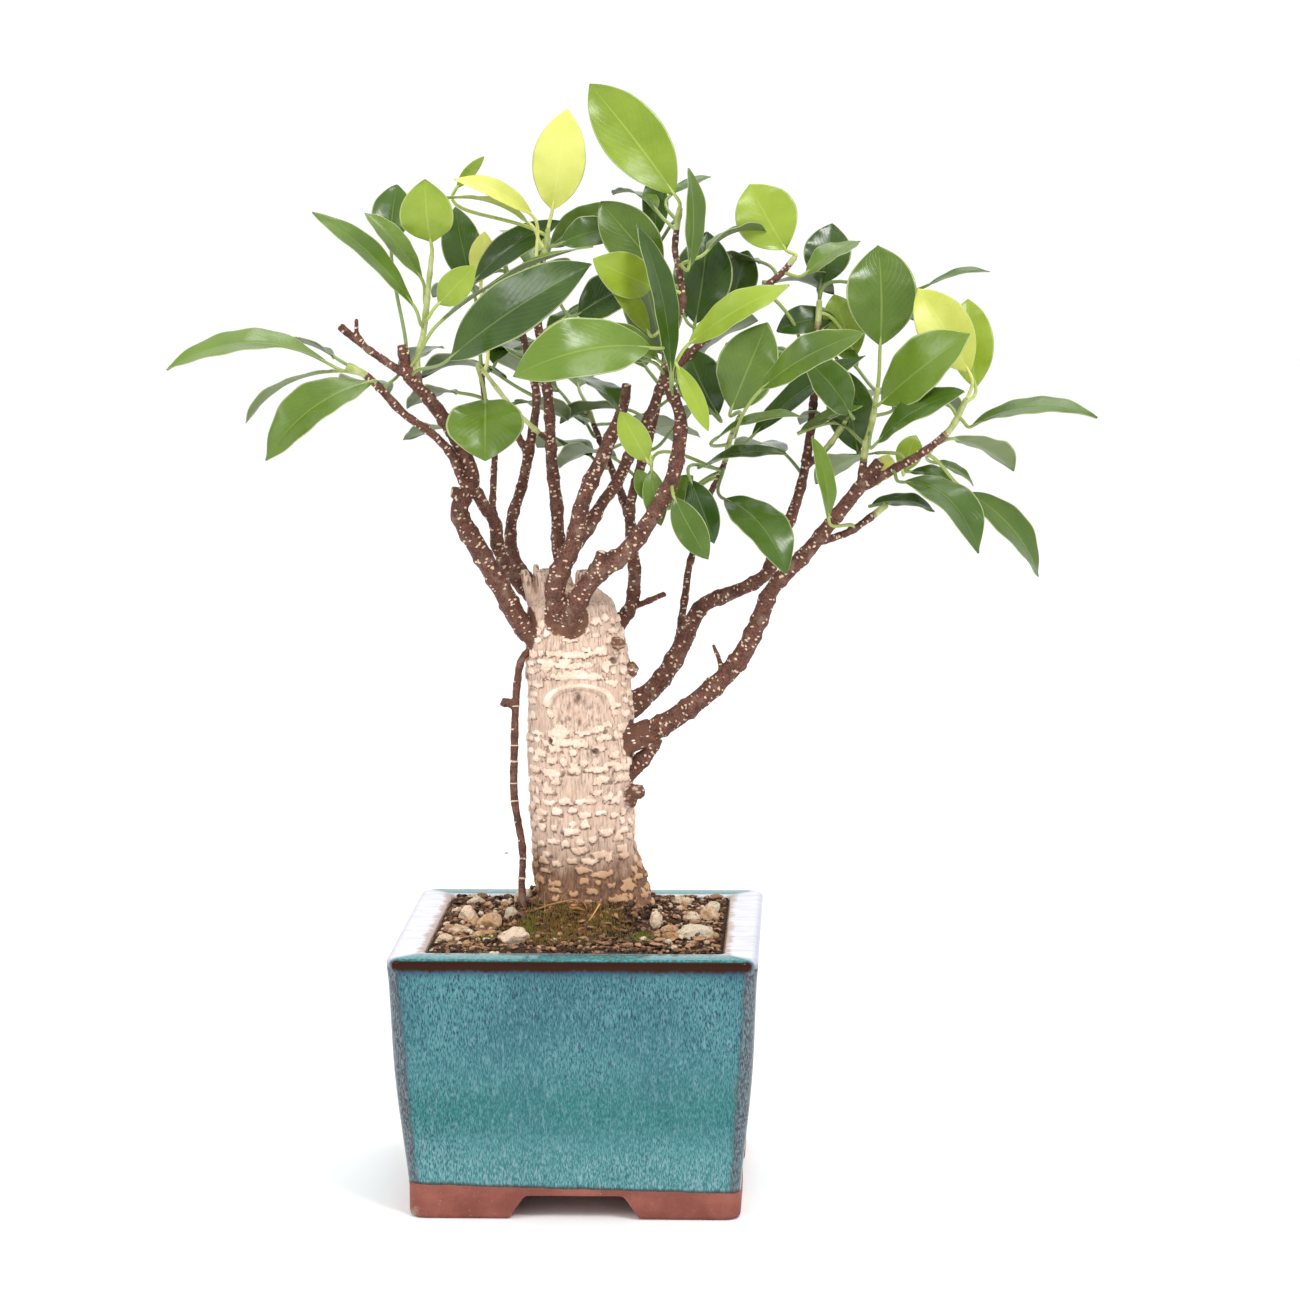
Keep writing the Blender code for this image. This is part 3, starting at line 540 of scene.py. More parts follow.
        colour = mix.layer(
            mix.mix(deepness, self.deep, self.pale),
            (mix.times(band, mix.step(cloud, 0.35, 0.6, 0.3, 0.8)), self.green),
            (mix.times(mix.step(streaks, 0.47, 0.7), low), self.haze),
            (mix.times(mix.step(runs, 0.5, 0.72), low), self.haze),
            (mix.times(mix.step(streaks, 0.5, 0.37), dark), self.speck),
            (mix.step(spots, 0.075, 0.05, 0.0, 0.8), self.speck),
            (mix.step(top, 105.0 * MM, 110.0 * MM, 0.0, 0.8), self.speck),
            (mix.step(corner, -3.7 * MM, -1.2 * MM, 0.0, 0.9), self.corner_plum),
            (frost, self.haze),
            (rim, self.break_brown),
            (mouth, self.break_brown),
            (mix.times(flat, mix.step(runs, 0.4, 0.65, 0.35, 0.95)), self.shallow),
            # Painted reflection of the side lights on the lips
            (mix.times(lip_reflection_mask, mix.step(z, 105.6 * MM, 107.6 * MM)), self.lip_reflection),
            (mix.times(outline, mix.step(z, 104.5 * MM, 105.5 * MM)), self.lip_edge_reflection),
            (mix.times(stained, mix.step(z, 106.0 * MM, 107.6 * MM)), self.soil_stain),
            (mix.step(above, 1.9 * MM, 0.4 * MM, 0.0, 0.8), self.break_brown),
            (bare, clay))
        return mix.serve(colour, rough, dull)


@dataclass
class Pot:
    """The square pot: bulging walls, an inward lip and four corner feet."""

    height: float = 109.0 * MM
    rim_half: float = 75.0 * MM
    taper: float = 7.5 * MM
    bulge: float = 1.3 * MM
    skirt: float = 13.0 * MM
    corner: float = 6.0 * MM
    wall: float = 7.0 * MM
    lip_width: float = 15.0 * MM
    lip_thickness: float = 9.0 * MM
    lip_round: float = 2.4 * MM
    foot_height: float = 10.0 * MM
    foot_ring: float = 15.0 * MM
    floor: float = 7.0 * MM
    arch_top: float = 40.0 * MM
    arch_bottom: float = 54.0 * MM
    arch_round: float = 1.6 * MM
    foot_round: float = 2.2 * MM
    drain: float = 10.0 * MM
    glaze_line: float = 12.0 * MM
    run: float = 5.0 * MM
    corner_steps: int = 8
    finish: GlazeFinish = field(default_factory=GlazeFinish)

    @property
    def foot_half(self) -> float:
        """Return half the pot's width at its feet."""
        return self.rim_half - self.taper

    def half_at(self, height: float) -> float:
        """Return half the outer width at a height."""
        share = soft_step(height, self.skirt * 0.6, self.height)
        climb = max(height - self.skirt, 0.0) / (self.height - self.skirt)
        return self.foot_half + self.taper * climb + self.bulge * math.sin(math.pi * share)

    def rounding(self, steps: int, radius: float) -> list[tuple[float, float]]:
        """Return how far a round edge has risen and drawn in, from its start to its end."""
        turns = [math.pi / 2 * k / steps for k in range(steps + 1)]
        return [(radius * math.sin(t), radius * (1.0 - math.cos(t))) for t in turns]

    def block(self, name: str, rings: Sequence[tuple[float, float]], corner: float) -> Item:
        """Make an upright square block with round corners that widens and narrows.

        Args:
            name: The object's name.
            rings: Height and half width of each ring, from the bottom up.
            corner: The corners' radius.

        Returns:
            The block.
        """
        (low, half), (high, _) = rings[0], rings[-1]
        middle = (AXIS.x, AXIS.y, (low + high) / 2)
        bpy.ops.mesh.primitive_cube_add(size=1.0, location=middle, scale=(2 * half, 2 * half, high - low))
        item = newest(name)
        bpy.ops.object.transform_apply(location=True, rotation=True, scale=True)
        bpy.ops.object.mode_set(mode="EDIT")
        select_parts(item, "EDGE", lambda e: (e.verts[0].co.xy - e.verts[1].co.xy).length < NEAR)
        bpy.ops.mesh.bevel(offset=corner, segments=self.corner_steps, profile=0.5)
        bpy.ops.mesh.select_mode(type="VERT")
        for height, _ in rings[1:-1]:
            bpy.ops.mesh.select_all(action="SELECT")
            bpy.ops.mesh.bisect(plane_co=(AXIS.x, AXIS.y, height), plane_no=(0.0, 0.0, 1.0))
        for height, ring_half in rings:
            self.resize_ring(item, height, ring_half / half)
        bpy.ops.object.mode_set(mode="OBJECT")
        return item

    def resize_ring(self, item: Item, height: float, factor: float) -> None:
        """Widen the ring of points at a height, in edit mode."""
        select_parts(item, "VERT", lambda v: abs(v.co.z - height) < NEAR)
        bpy.ops.transform.resize(value=(factor, factor, 1.0), center_override=(AXIS.x, AXIS.y, height))

    def body(self) -> Item:
        """Make the outer block: soft feet, straight skirt, bulging wall and round rim."""
        foot = [(self.foot_round - rise, self.foot_half - draw)
                for rise, draw in reversed(self.rounding(3, self.foot_round))]
        start, end = self.skirt, self.height - self.lip_round
        levels = [start + (end - start) * k / 12 for k in range(12)]
        wall = [(level, self.half_at(level)) for level in levels]
        rim = [(end + rise, self.rim_half - draw) for rise, draw in self.rounding(5, self.lip_round)]
        return self.block("glazed_pot", [*foot, *wall, *rim], self.corner)

    def arch(self, turn: float) -> Item:
        """Make the low opening with sloped sides that runs under the pot.

        Args:
            turn: Its turn about the pot's axis, in radians.

        Returns:
            The cutter.
        """
        slope = (self.arch_bottom - self.arch_top) / 2 * self.run / self.foot_height
        bottom = self.arch_bottom + 2 * slope
        middle = (AXIS.x, AXIS.y, (self.foot_height - self.run) / 2)
        bpy.ops.mesh.primitive_cube_add(size=1.0, location=middle, scale=(
            2 * (self.rim_half + self.run), bottom, self.foot_height + self.run))
        item = newest("arch")
        bpy.ops.object.transform_apply(location=True, rotation=True, scale=True)
        bpy.ops.object.mode_set(mode="EDIT")
        select_parts(item, "VERT", lambda v: v.co.z > 0.0)
        bpy.ops.transform.resize(value=(1.0, self.arch_top / bottom, 1.0),
                                 center_override=(AXIS.x, AXIS.y, 0.0))
        select_parts(item, "EDGE", lambda e: all(v.co.z > 0.0 for v in e.verts)
                     and abs(e.verts[0].co.y - e.verts[1].co.y) < NEAR)
        bpy.ops.mesh.bevel(offset=self.arch_round, segments=4)
        bpy.ops.mesh.select_mode(type="VERT")
        bpy.ops.mesh.select_all(action="SELECT")
        bpy.ops.transform.rotate(value=turn, orient_axis="Z", center_override=(AXIS.x, AXIS.y, 0.0))
        bpy.ops.object.mode_set(mode="OBJECT")
        return item

    def build(self) -> Item:
        """Make the pot and glaze it.

        Returns:
            The finished pot.
        """
        item = self.body()
        under_lip = self.height - self.lip_thickness
        floor_top = self.foot_height + self.floor
        mouth = self.rim_half - self.lip_width
        inner_corner = self.corner - self.lip_round
        hollow = self.foot_half - self.foot_ring
        edge = [(self.height - self.lip_round + rise, mouth + draw)
                for rise, draw in self.rounding(5, self.lip_round)]
        bpy.ops.mesh.primitive_cylinder_add(
            vertices=48, radius=self.drain, depth=self.floor + 2 * self.run,
            location=(AXIS.x, AXIS.y, self.foot_height + self.floor / 2))
        cutters = [
            newest("drain"),
            self.block("chamber", [(floor_top, self.half_at(floor_top) - self.wall),
                                   (under_lip, self.half_at(under_lip) - self.wall)],
                       inner_corner),
            self.block("mouth", [(under_lip - MM, mouth), *edge,
                                 (self.height + self.run, mouth + self.lip_round)],
                       inner_corner),
            self.block("hollow", [(-self.run, hollow), (self.foot_height, hollow)],
                       inner_corner),
            self.arch(0.0), self.arch(math.pi / 2)]
        for cutter in cutters:
            step = item.modifiers.new(cutter.name, "BOOLEAN")
            step.operation, step.solver, step.object = "DIFFERENCE", "EXACT", cutter
        apply_all(item)
        for cutter in cutters:
            remove(cutter)
        pick_only(item)
        bpy.ops.object.shade_smooth_by_angle(angle=math.radians(38.0))
        return finish_piece(item, self.finish.material(self), "glaze", ["pot"], smooth=False)


@dataclass(frozen=True)
class NetFinish:
    """Black moulded plastic with a dull, dusty skin."""

    black: Colour = (0.018, 0.018, 0.02)
    dust: Colour = (0.09, 0.07, 0.05)

    def material(self) -> bpy.types.Material:
        """Mix the finish."""
        mix = Recipe("mesh_plastic", 0.5, 0.4)
        here = mix.place()
        dust = mix.grain(here, 420.0, 5.0)
        colour = mix.mix(mix.step(dust, 0.48, 0.7), self.black, self.dust)
        return mix.serve(colour, mix.relief(mix.grain(here, 2400.0, 2.0), 0.05 * MM),
                         mix.step(dust, 0.4, 0.7, 0.4, 0.8))


# -------------------------------------------------------------------------------- soil


@dataclass(frozen=True)
class EarthFinish:
    """Dark, damp earth, or the crumbs in it, each with its own tone."""

    name: str
    dark: Colour
    light: Colour
    dull: float = 0.9
    grain: float = 900.0

    def material(self) -> bpy.types.Material:
        """Mix the finish, which reads each crumb's tone."""
        mix = Recipe(self.name, self.dull, 0.25)
        here = mix.place()
        fine, wide = mix.grain(here, self.grain, 4.0, 0.65), mix.grain(here, 130.0, 3.0)
        tone = mix.plus(mix.values("tone"), mix.minus(fine, 0.5))
        tone = mix.plus(tone, mix.times(mix.minus(wide, 0.5), 0.6))
        colour = mix.mix(mix.step(tone, 0.0, 1.0), self.dark, self.light)
        return mix.serve(colour, mix.relief(fine, 0.35 * MM),
                         mix.step(fine, 0.3, 0.7, self.dull - 0.15, 1.0))


@dataclass(frozen=True)
class StoneFinish:
    """Porous pale stone with rusty and green-grey stains."""

    pale: Colour = (0.64, 0.5, 0.36)
    rust: Colour = (0.42, 0.24, 0.12)
    ash: Colour = (0.46, 0.45, 0.36)
    pore: Colour = (0.1, 0.055, 0.03)

    def material(self) -> bpy.types.Material:
        """Mix the finish, which reads each stone's tone."""
        mix = Recipe("pumice", 0.9, 0.25)
        here = mix.place()
        cloud, pores = mix.grain(here, 260.0, 5.0, 0.6), mix.cells(here, 900.0)
        tone = mix.plus(mix.values("tone"), mix.times(cloud, 0.9))
        relief = mix.relief(cloud, 0.9 * MM)
        colour = mix.layer(
            mix.mix(mix.step(tone, 0.55, 0.95), self.rust, self.pale),
            (mix.step(tone, 1.05, 1.35, 0.0, 0.8), self.ash),
            (mix.step(pores, 0.3, 0.1, 0.0, 0.7), self.pore),
            (mix.step(mix.grain(here, 620.0, 3.0), 0.56, 0.72, 0.0, 0.6), self.pore))
        return mix.serve(colour, mix.relief(pores, 0.25 * MM, relief))


@dataclass
class Heap:
    """A crowd of small shapes that all come from one, gathered in one mesh."""

    name: str
    points: np.ndarray
    faces: list[tuple[int, ...]]
    dice: random.Random
    made: list = field(default_factory=list)
    tones: list = field(default_factory=list)

    def put(self, place: Vector, size: Sequence[float], turn: Matrix, tone: float,
            rough: float = 0.0) -> None:
        """Add one copy.

        Args:
            place: Its middle, in metres.
            size: Its half sizes, in millimetres.
            turn: Its turn.
            tone: The number that its finish reads.
            rough: How far its points stray, as a share of its size.
        """
        shape = self.points * np.array(size) * MM
        if rough:
            stray = [1.0 + self.dice.uniform(-rough, rough) for _ in shape]
            shape = shape * np.array(stray)[:, None]
        self.made.append(shape @ np.array(turn.to_3x3()).T + np.array(place))
        self.tones.extend([tone] * len(shape))

    def gather(self) -> Item:
        """Join all copies into one object.

        Returns:
            The object.
        """
        count = len(self.points)
        faces = [tuple(corner + k * count for corner in face)
                 for k in range(len(self.made)) for face in self.faces]
        item = new_mesh(self.name, np.concatenate(self.made), faces)
        add_values(item, "tone", np.array(self.tones))
        return item


def model_of(add: Callable, **sizes: object) -> tuple[np.ndarray, list[tuple[int, ...]]]:
    """Take the points and faces of a primitive, and put it away.

    Args:
        add: The operator that adds the primitive.
        sizes: What the operator is told.

    Returns:
        Its points and its faces.
    """
    add(**sizes)
    item = newest("model")
    points = points_of(item)
    faces = [tuple(polygon.vertices) for polygon in item.data.polygons]
    remove(item)
    return points, faces


def any_turn(dice: random.Random, tilt: float = math.pi) -> Matrix:
    """Return a random turn."""
    lean = Matrix.Rotation(dice.uniform(-tilt, tilt), 4, "X")
    return Matrix.Rotation(dice.uniform(0.0, math.tau), 4, "Z") @ lean


@dataclass
class Soil:
    """The fill of the pot's mouth: a crumbly surface, stones, moss, roots and litter."""

    half: float = 59.9
    corner: float = 3.6
    mound: Place = (0.0, 15.0, 10.2)
    mound_radius: float = 46.0
    mound_run: float = 26.0
    depth: float = 90.0
    cell: float = 0.75
    crumbs: int = 4200
    barks: int = 700
    grit: int = 300
    sprigs: int = 4200
    trunk_at: tuple[float, float] = (3.0, 16.0)
    trunk_clear: tuple[float, float] = (27.0, 24.0)
    grit_patches: tuple[tuple[float, float, float, float], ...] = (
        (-46, -30, 13, 26), (47, -22, 11, 20), (-44, 22, 10, 22), (44, 30, 10, 16), (0, 0, 50, 50))
    fine: EarthFinish = EarthFinish("soil_mix", (0.02, 0.011, 0.007), (0.14, 0.07, 0.04))
    bark: EarthFinish = EarthFinish("bark_crumbs", (0.028, 0.013, 0.007), (0.46, 0.25, 0.14))
    moss: EarthFinish = EarthFinish("moss", (0.22, 0.1, 0.03), (0.12, 0.18, 0.018), 0.8)
    turf: EarthFinish = EarthFinish("turf", (0.025, 0.012, 0.007), (0.16, 0.09, 0.025), 0.9, 700.0)
    straw: EarthFinish = EarthFinish("dead_stalks", (0.28, 0.1, 0.03), (0.6, 0.38, 0.16), 0.6)
    stone: StoneFinish = StoneFinish()

    def level(self, x: float, y: float) -> float:
        """Return the surface's height over the soil level, all in millimetres.

        Args:
            x: How far right of the pot's axis.
            y: How far behind it.

        Returns:
            The height.
        """
        away = math.hypot(x - self.mound[0], y - self.mound[1])
        rise = self.mound[2] * soft_step(away, self.mound_radius, self.mound_radius - self.mound_run)
        spot = Vector((x, y, 0.0))
        lumps = noise.noise(spot * 0.16) * 1.5 + noise.noise(spot * 0.45) * 0.9
        fine = noise.noise(spot * 1.2) * 0.5 + noise.cell(spot * 0.6) * 0.35
        edge = soft_step(max(abs(x), abs(y)), self.half - 5.0, self.half)
        return rise + lumps + fine + 0.3 - 1.0 * edge

    def surface(self) -> Item:
        """Make the soil as one closed block with its crumbly top."""
        count = int(2 * self.half / self.cell)
        bpy.ops.mesh.primitive_grid_add(x_subdivisions=count, y_subdivisions=count, size=2 * self.half * MM,
                                        location=on_plant((0.0, 0.0, 0.0)))
        item = newest("potting_soil")
        bpy.ops.object.transform_apply(location=True, rotation=True, scale=True)
        bpy.ops.object.mode_set(mode="EDIT")
        bpy.ops.mesh.select_all(action="SELECT")
        bpy.ops.mesh.extrude_region_move(TRANSFORM_OT_translate={"value": (0.0, 0.0, -self.depth * MM)})
        bpy.ops.mesh.select_all(action="SELECT")
        bpy.ops.mesh.normals_make_consistent(inside=False)
        bpy.ops.object.mode_set(mode="OBJECT")
        points = points_of(item)
        top = points[:, 2] > SOIL_LEVEL - MM
        limit = self.half - self.corner
        for index, point in enumerate(points):
            x, y = (point[0] - AXIS.x) / MM, (point[1] - AXIS.y) / MM
            over_x, over_y = abs(x) - limit, abs(y) - limit
            if over_x > 0 and over_y > 0:
                pull = max(over_x, over_y) / math.hypot(over_x, over_y)
                x = math.copysign(limit + over_x * pull, x)
                y = math.copysign(limit + over_y * pull, y)
            z = SOIL_LEVEL + self.level(x, y) * MM if top[index] else point[2]
            points[index] = (AXIS.x + x * MM, AXIS.y + y * MM, z)
        move_points(item, points)
        add_values(item, "tone", np.full(len(points), 0.3))
        return finish_piece(item, self.fine.material(), "soil_mix", ["soil"])

    def clear(self, x: float, y: float, more: float = 0.0) -> bool:
        """Tell whether a spot is clear of the trunk's foot, with more room in millimetres."""
        wide, deep = self.trunk_clear
        away = x - self.trunk_at[0], y - self.trunk_at[1]
        return math.hypot(away[0] / (wide + more), away[1] / (deep + more)) > 1.0

    def spot(self, dice: random.Random, margin: float = 1.0) -> tuple[float, float]:
        """Pick a spot on the surface, clear of the trunk.

        Args:
            dice: Where the numbers come from.
            margin: How far it stays from the lip.

        Returns:
            X and Y in millimetres from the pot's axis.
        """
        while True:
            x = dice.uniform(margin - self.half, self.half - margin)
            y = dice.uniform(margin - self.half, self.half - margin)
            if self.clear(x, y):
                return x, y

    def crumb_heap(self) -> Item:
        """Scatter crumbs and flat bark chips over the soil."""
        dice = random.Random(SEED)
        heap = Heap("soil_crumbs", *model_of(bpy.ops.mesh.primitive_ico_sphere_add, subdivisions=1), dice)
        for _ in range(self.crumbs):
            x, y = self.spot(dice)
            size = dice.uniform(0.4, 1.5) * dice.uniform(0.7, 1.0)
            z = self.level(x, y) + size * 0.3
            heap.put(on_plant((x, y, z)), (size, size * dice.uniform(0.6, 1.0),
                                           size * dice.uniform(0.5, 0.9)),
                     any_turn(dice), dice.uniform(0.0, 0.75) ** 1.4, 0.25)
        for _ in range(self.barks):
            x, y = self.spot(dice, 3.0)
            size = dice.uniform(1.2, 3.4)
            z = self.level(x, y) + 0.7
            heap.put(on_plant((x, y, z)), (size, size * dice.uniform(0.3, 0.6), 0.6),
                     any_turn(dice, 0.8), dice.uniform(0.1, 0.95) ** 1.3, 0.3)
        return finish_piece(heap.gather(), self.bark.material(), "soil_mix", smooth=False)

    def grit_heap(self) -> Item:
        """Scatter small pale stones, most of them near the pot's corners."""
        dice = random.Random(SEED + 1)
        heap = Heap("grit", *model_of(bpy.ops.mesh.primitive_uv_sphere_add, segments=7, ring_count=5), dice)
        for _ in range(self.grit):
            px, py, sx, sy = self.grit_patches[min(dice.randrange(9) // 2, 4)]
            x, y = dice.gauss(px, sx), dice.gauss(py, sy)
            inside = max(abs(x), abs(y)) < self.half - 2.0
            if not inside or not self.clear(x, y, 2.0):
                continue
            size = dice.uniform(0.7, 2.0) * dice.uniform(0.7, 1.2)
            heap.put(on_plant((x, y, self.level(x, y) + size * 0.35)),
                     (size, size * dice.uniform(0.6, 0.9), size * dice.uniform(0.5, 0.8)),
                     any_turn(dice, 0.5), dice.uniform(0.0, 0.75), 0.16)
        return finish_piece(heap.gather(), self.stone.material(), "stone", smooth=False)

    def stones(self) -> None:
        """Lay the larger stones, of which five stand for the part's own."""
        skin = self.stone.material()
        for index, stone in enumerate(STONES):
            dice = random.Random(SEED + 30 + index)
            bpy.ops.mesh.primitive_ico_sphere_add(subdivisions=4, radius=1.0)
            item = newest(stone.name)
            seed = Vector((index * 7.0, 3.0, 0.0))
            sides = [(Vector([dice.gauss(0.0, 1.0) for _ in range(3)]).normalized(),
                      dice.uniform(0.7, 0.98)) for _ in range(16)]
            turn = Matrix.Rotation(stone.turn, 3, "Z") @ Matrix.Rotation(dice.uniform(-0.3, 0.3), 3, "X")
            x, y = stone.place
            spot = on_plant((x, y, self.level(x, y) + stone.size[2] * 0.45))
            moved = []
            for point in item.data.vertices:
                way = point.co.normalized()
                cuts = [far / way.dot(side) for side, far in sides if way.dot(side) > 0.4]
                lump = min([1.18, *cuts]) + 0.1 * noise.noise(way * 2.6 + seed) \
                    + 0.05 * noise.noise(way * 8.0 + seed)
                shape = Vector(c * s for c, s in zip(way * lump, stone.size))
                moved.append(spot + turn @ shape * MM)
            move_points(item, np.array(moved))
            add_values(item, "tone", np.full(len(moved), stone.tone))
            finish_piece(item, skin, "stone", stone.nodes)

    def moss_bed(self) -> Item:
        """Grow moss sprigs in patches before the trunk."""
        dice = random.Random(SEED + 2)
        heap = Heap("moss_sprigs", *model_of(
            bpy.ops.mesh.primitive_cone_add, vertices=4, radius1=1.0, radius2=0.15, depth=2.0,
            end_fill_type="TRIFAN"), dice)
        for _ in range(self.sprigs):
            patch = dice.choices(MOSS_PATCHES, [p.share for p in MOSS_PATCHES])[0]
            x = dice.gauss(patch.place[0], patch.spread[0])
            y = dice.gauss(patch.place[1], patch.spread[1])
            if max(abs(x), abs(y)) > self.half - 1.0:
                continue
            tall = dice.uniform(0.5, 1.3)
            tone = patch.green + dice.uniform(-0.55, 0.45)
            heap.put(on_plant((x, y, self.level(x, y) + tall * 0.8)), (0.32, 0.32, tall),
                     any_turn(dice, 0.6), tone)
        return finish_piece(heap.gather(), self.moss.material(), "moss", smooth=False)

    def moss_cushion(self) -> Item:
        """Make the low cushion that the sprigs grow from."""
        bpy.ops.mesh.primitive_ico_sphere_add(subdivisions=5, radius=1.0)
        item = newest("moss_cushion")
        moved = []
        for point in item.data.vertices:
            way = point.co
            x, y = -9.0 + way.x * 19.0, -13.5 + way.y * 12.0
            bumps = 1.0 + 0.45 * noise.noise(Vector((x, y, 0.0)) * 0.35) \
                + 0.2 * noise.noise(Vector((x, y, 1.0)) * 1.1)
            moved.append(on_plant((x, y, self.level(x, y) - 0.9 + way.z * 1.5 * bumps)))
        move_points(item, np.array(moved))
        tones = [0.3 + 0.8 * noise.noise(p.co / MM * 0.3) for p in item.data.vertices]
        add_values(item, "tone", np.array(tones))
        return finish_piece(item, self.turf.material(), "moss", ["moss"])

    def litter(self) -> None:
        """Lay the dry stalks and thin grass-like shoots."""
        lengths = []
        tones = []
        for strand in STRANDS:
            line = []
            for x, y, over in strand.line:
                line.append(on_plant((x, y, self.level(x, y) + over)))
            curve = [point for point, _ in smooth_line(line, 0.8 * MM)]
            steps = len(curve) - 1
            radii = [(strand.radius * (1.0 - 0.6 * k / steps)) * MM for k in range(steps + 1)]
            item = tube("strand", curve, radii, 1)
            lengths.append(item)
            tones.extend([strand.tone] * len(item.data.vertices))
        item = join_into(lengths, "dry_stalks")
        add_values(item, "tone", np.array(tones))
        finish_piece(item, self.straw.material())

    def build(self) -> None:
        """Make everything that lies in the pot's mouth."""
        self.surface()
        self.crumb_heap()
        self.grit_heap()
        self.stones()
        self.moss_cushion()
        self.moss_bed()
        self.litter()


@dataclass(frozen=True)
class Stone:
    """A stone on the soil: its place, half sizes and turn, in millimetres and radians."""

    name: str
    place: tuple[float, float]
    size: Place
    turn: float
    tone: float
    nodes: tuple[str, ...] = ()


@dataclass(frozen=True)
class MossPatch:
    """Where moss grows: its middle, spread, share of all sprigs and greenness."""

    place: tuple[float, float]
    spread: tuple[float, float]
    share: float
    green: float


@dataclass(frozen=True)
class Strand:
    """A dry stalk or thin shoot along points, each with its height over the soil."""

    radius: float
    tone: float
    line: tuple[Place, ...]


STONES = (
    Stone("pebble_front_stone", (-25.8, -40.8), (6.6, 5.2, 4.0), 0.3, 0.55, ("pebble_front",)),
    Stone("pebble_left_stone", (-37.8, -7.8), (6.0, 4.8, 4.6), 1.1, 0.2, ("pebble_left",)),
    Stone("pebble_left_back_stone", (-49.0, 9.0), (5.4, 4.2, 3.6), 2.0, 0.45,
          ("pebble_left_back",)),
    Stone("pebble_right_stone", (52.8, 9.0), (5.2, 4.4, 4.8), 0.6, 0.3, ("pebble_right",)),
    Stone("pebble_right_front_stone", (46.8, -25.2), (8.0, 4.6, 3.8), 0.2, 0.75,
          ("pebble_right_front",)),
    Stone("chip_left_front", (-50.0, -22.0), (4.4, 3.0, 2.6), 0.7, 0.3),
    Stone("chip_left_middle", (-45.0, -2.0), (4.2, 2.4, 2.4), 2.4, 0.1),
    Stone("chip_left_edge", (-54.0, -38.0), (3.4, 2.6, 2.4), 0.2, 0.35),
    Stone("chip_left_low", (-41.0, -30.0), (4.0, 2.6, 2.2), 1.8, 0.15),
    Stone("chip_pink", (-37.0, -22.0), (3.4, 2.4, 2.2), 0.5, 0.05),
    Stone("chip_root_foot", (-25.0, 9.0), (4.6, 3.0, 3.4), 0.9, 0.6),
    Stone("chip_root_side", (-30.0, -3.0), (3.4, 2.4, 3.0), 2.2, 0.8),
    Stone("chip_flare", (31.0, -9.0), (3.6, 3.0, 4.4), 1.4, 0.5),
    Stone("chip_right_middle", (37.0, -19.0), (3.8, 2.8, 2.6), 0.3, 0.2),
    Stone("chip_right_low", (38.5, -31.0), (4.4, 2.8, 2.2), 2.8, 0.1),
    Stone("chip_right_top", (46.0, 6.0), (4.4, 2.8, 2.6), 0.1, 0.65),
    Stone("chip_right_back", (54.0, 26.0), (3.6, 2.8, 2.6), 1.0, 0.8),
    Stone("chip_back_middle", (40.0, 40.0), (4.2, 2.6, 2.2), 0.4, 0.4),
    Stone("chip_back", (8.0, 50.0), (4.0, 3.0, 2.6), 1.9, 0.5),
    Stone("chip_back_left", (-30.0, 46.0), (4.6, 3.4, 2.8), 0.9, 0.35),
    Stone("chip_back_edge", (-48.0, 38.0), (4.0, 3.0, 2.6), 2.5, 0.6),
)

MOSS_PATCHES = (
    MossPatch((-9.0, -14.0), (10.0, 6.5), 3.0, 0.25),
    MossPatch((-22.0, -22.0), (6.0, 5.0), 1.0, 0.75),
    MossPatch((-35.0, -33.0), (3.0, 2.5), 0.8, 0.9),
    MossPatch((8.0, -17.0), (7.0, 6.0), 2.0, 0.2),
    MossPatch((-12.0, -32.0), (9.0, 6.0), 1.8, 0.35),
    MossPatch((28.0, -30.0), (3.0, 3.0), 0.6, 0.9),
    MossPatch((-14.0, 40.0), (9.0, 5.0), 1.2, 0.7),
    MossPatch((22.0, 44.0), (7.0, 4.0), 0.8, 0.6),
)

STRANDS = (
    Strand(0.55, 0.35, ((-19, -8, 1.0), (-10, -10, 2.6), (-1, -10, 3.0), (2, -11, 2.2),
                        (3, -12, 0.6))),
    Strand(0.8, 0.15, ((-4, -14, 1.2), (-1, -15, 2.6), (2, -14, 1.6), (0, -13, 0.6))),
    Strand(0.4, 0.85, ((8, -12, 3.0), (5, -17, 1.8), (2, -21, 0.8))),
    Strand(0.16, 0.95, ((-30, -8, 0), (-31, -9, 5), (-33, -10, 9))),
    Strand(0.16, 0.95, ((-29, -6, 0), (-28, -7, 6), (-27, -8, 11))),
    Strand(0.18, 0.3, ((-22, -9, 0), (-24, -9, 5), (-26, -10, 10))),
    Strand(0.15, 0.9, ((-9, -8, 0), (-8, -9, 4), (-6, -10, 6))),
    Strand(0.16, 0.85, ((-15, -10, 0), (-15, -10, 5), (-15, -11, 10))),
    Strand(0.14, 0.6, ((-24, 2, 0), (-27, 0, 12), (-30, -2, 22), (-31, -2, 27))),
    Strand(0.45, 0.1, ((-31, -2, 27), (-31.6, -2, 27.4), (-32.4, -2, 27.2))),
    Strand(0.16, 0.9, ((20, 36, 0), (22, 38, 6), (25, 40, 10))),
    Strand(0.16, 0.9, ((-32, 30, 0), (-34, 32, 6), (-35, 35, 9))),
)


# -------------------------------------------------------------------------------- wood


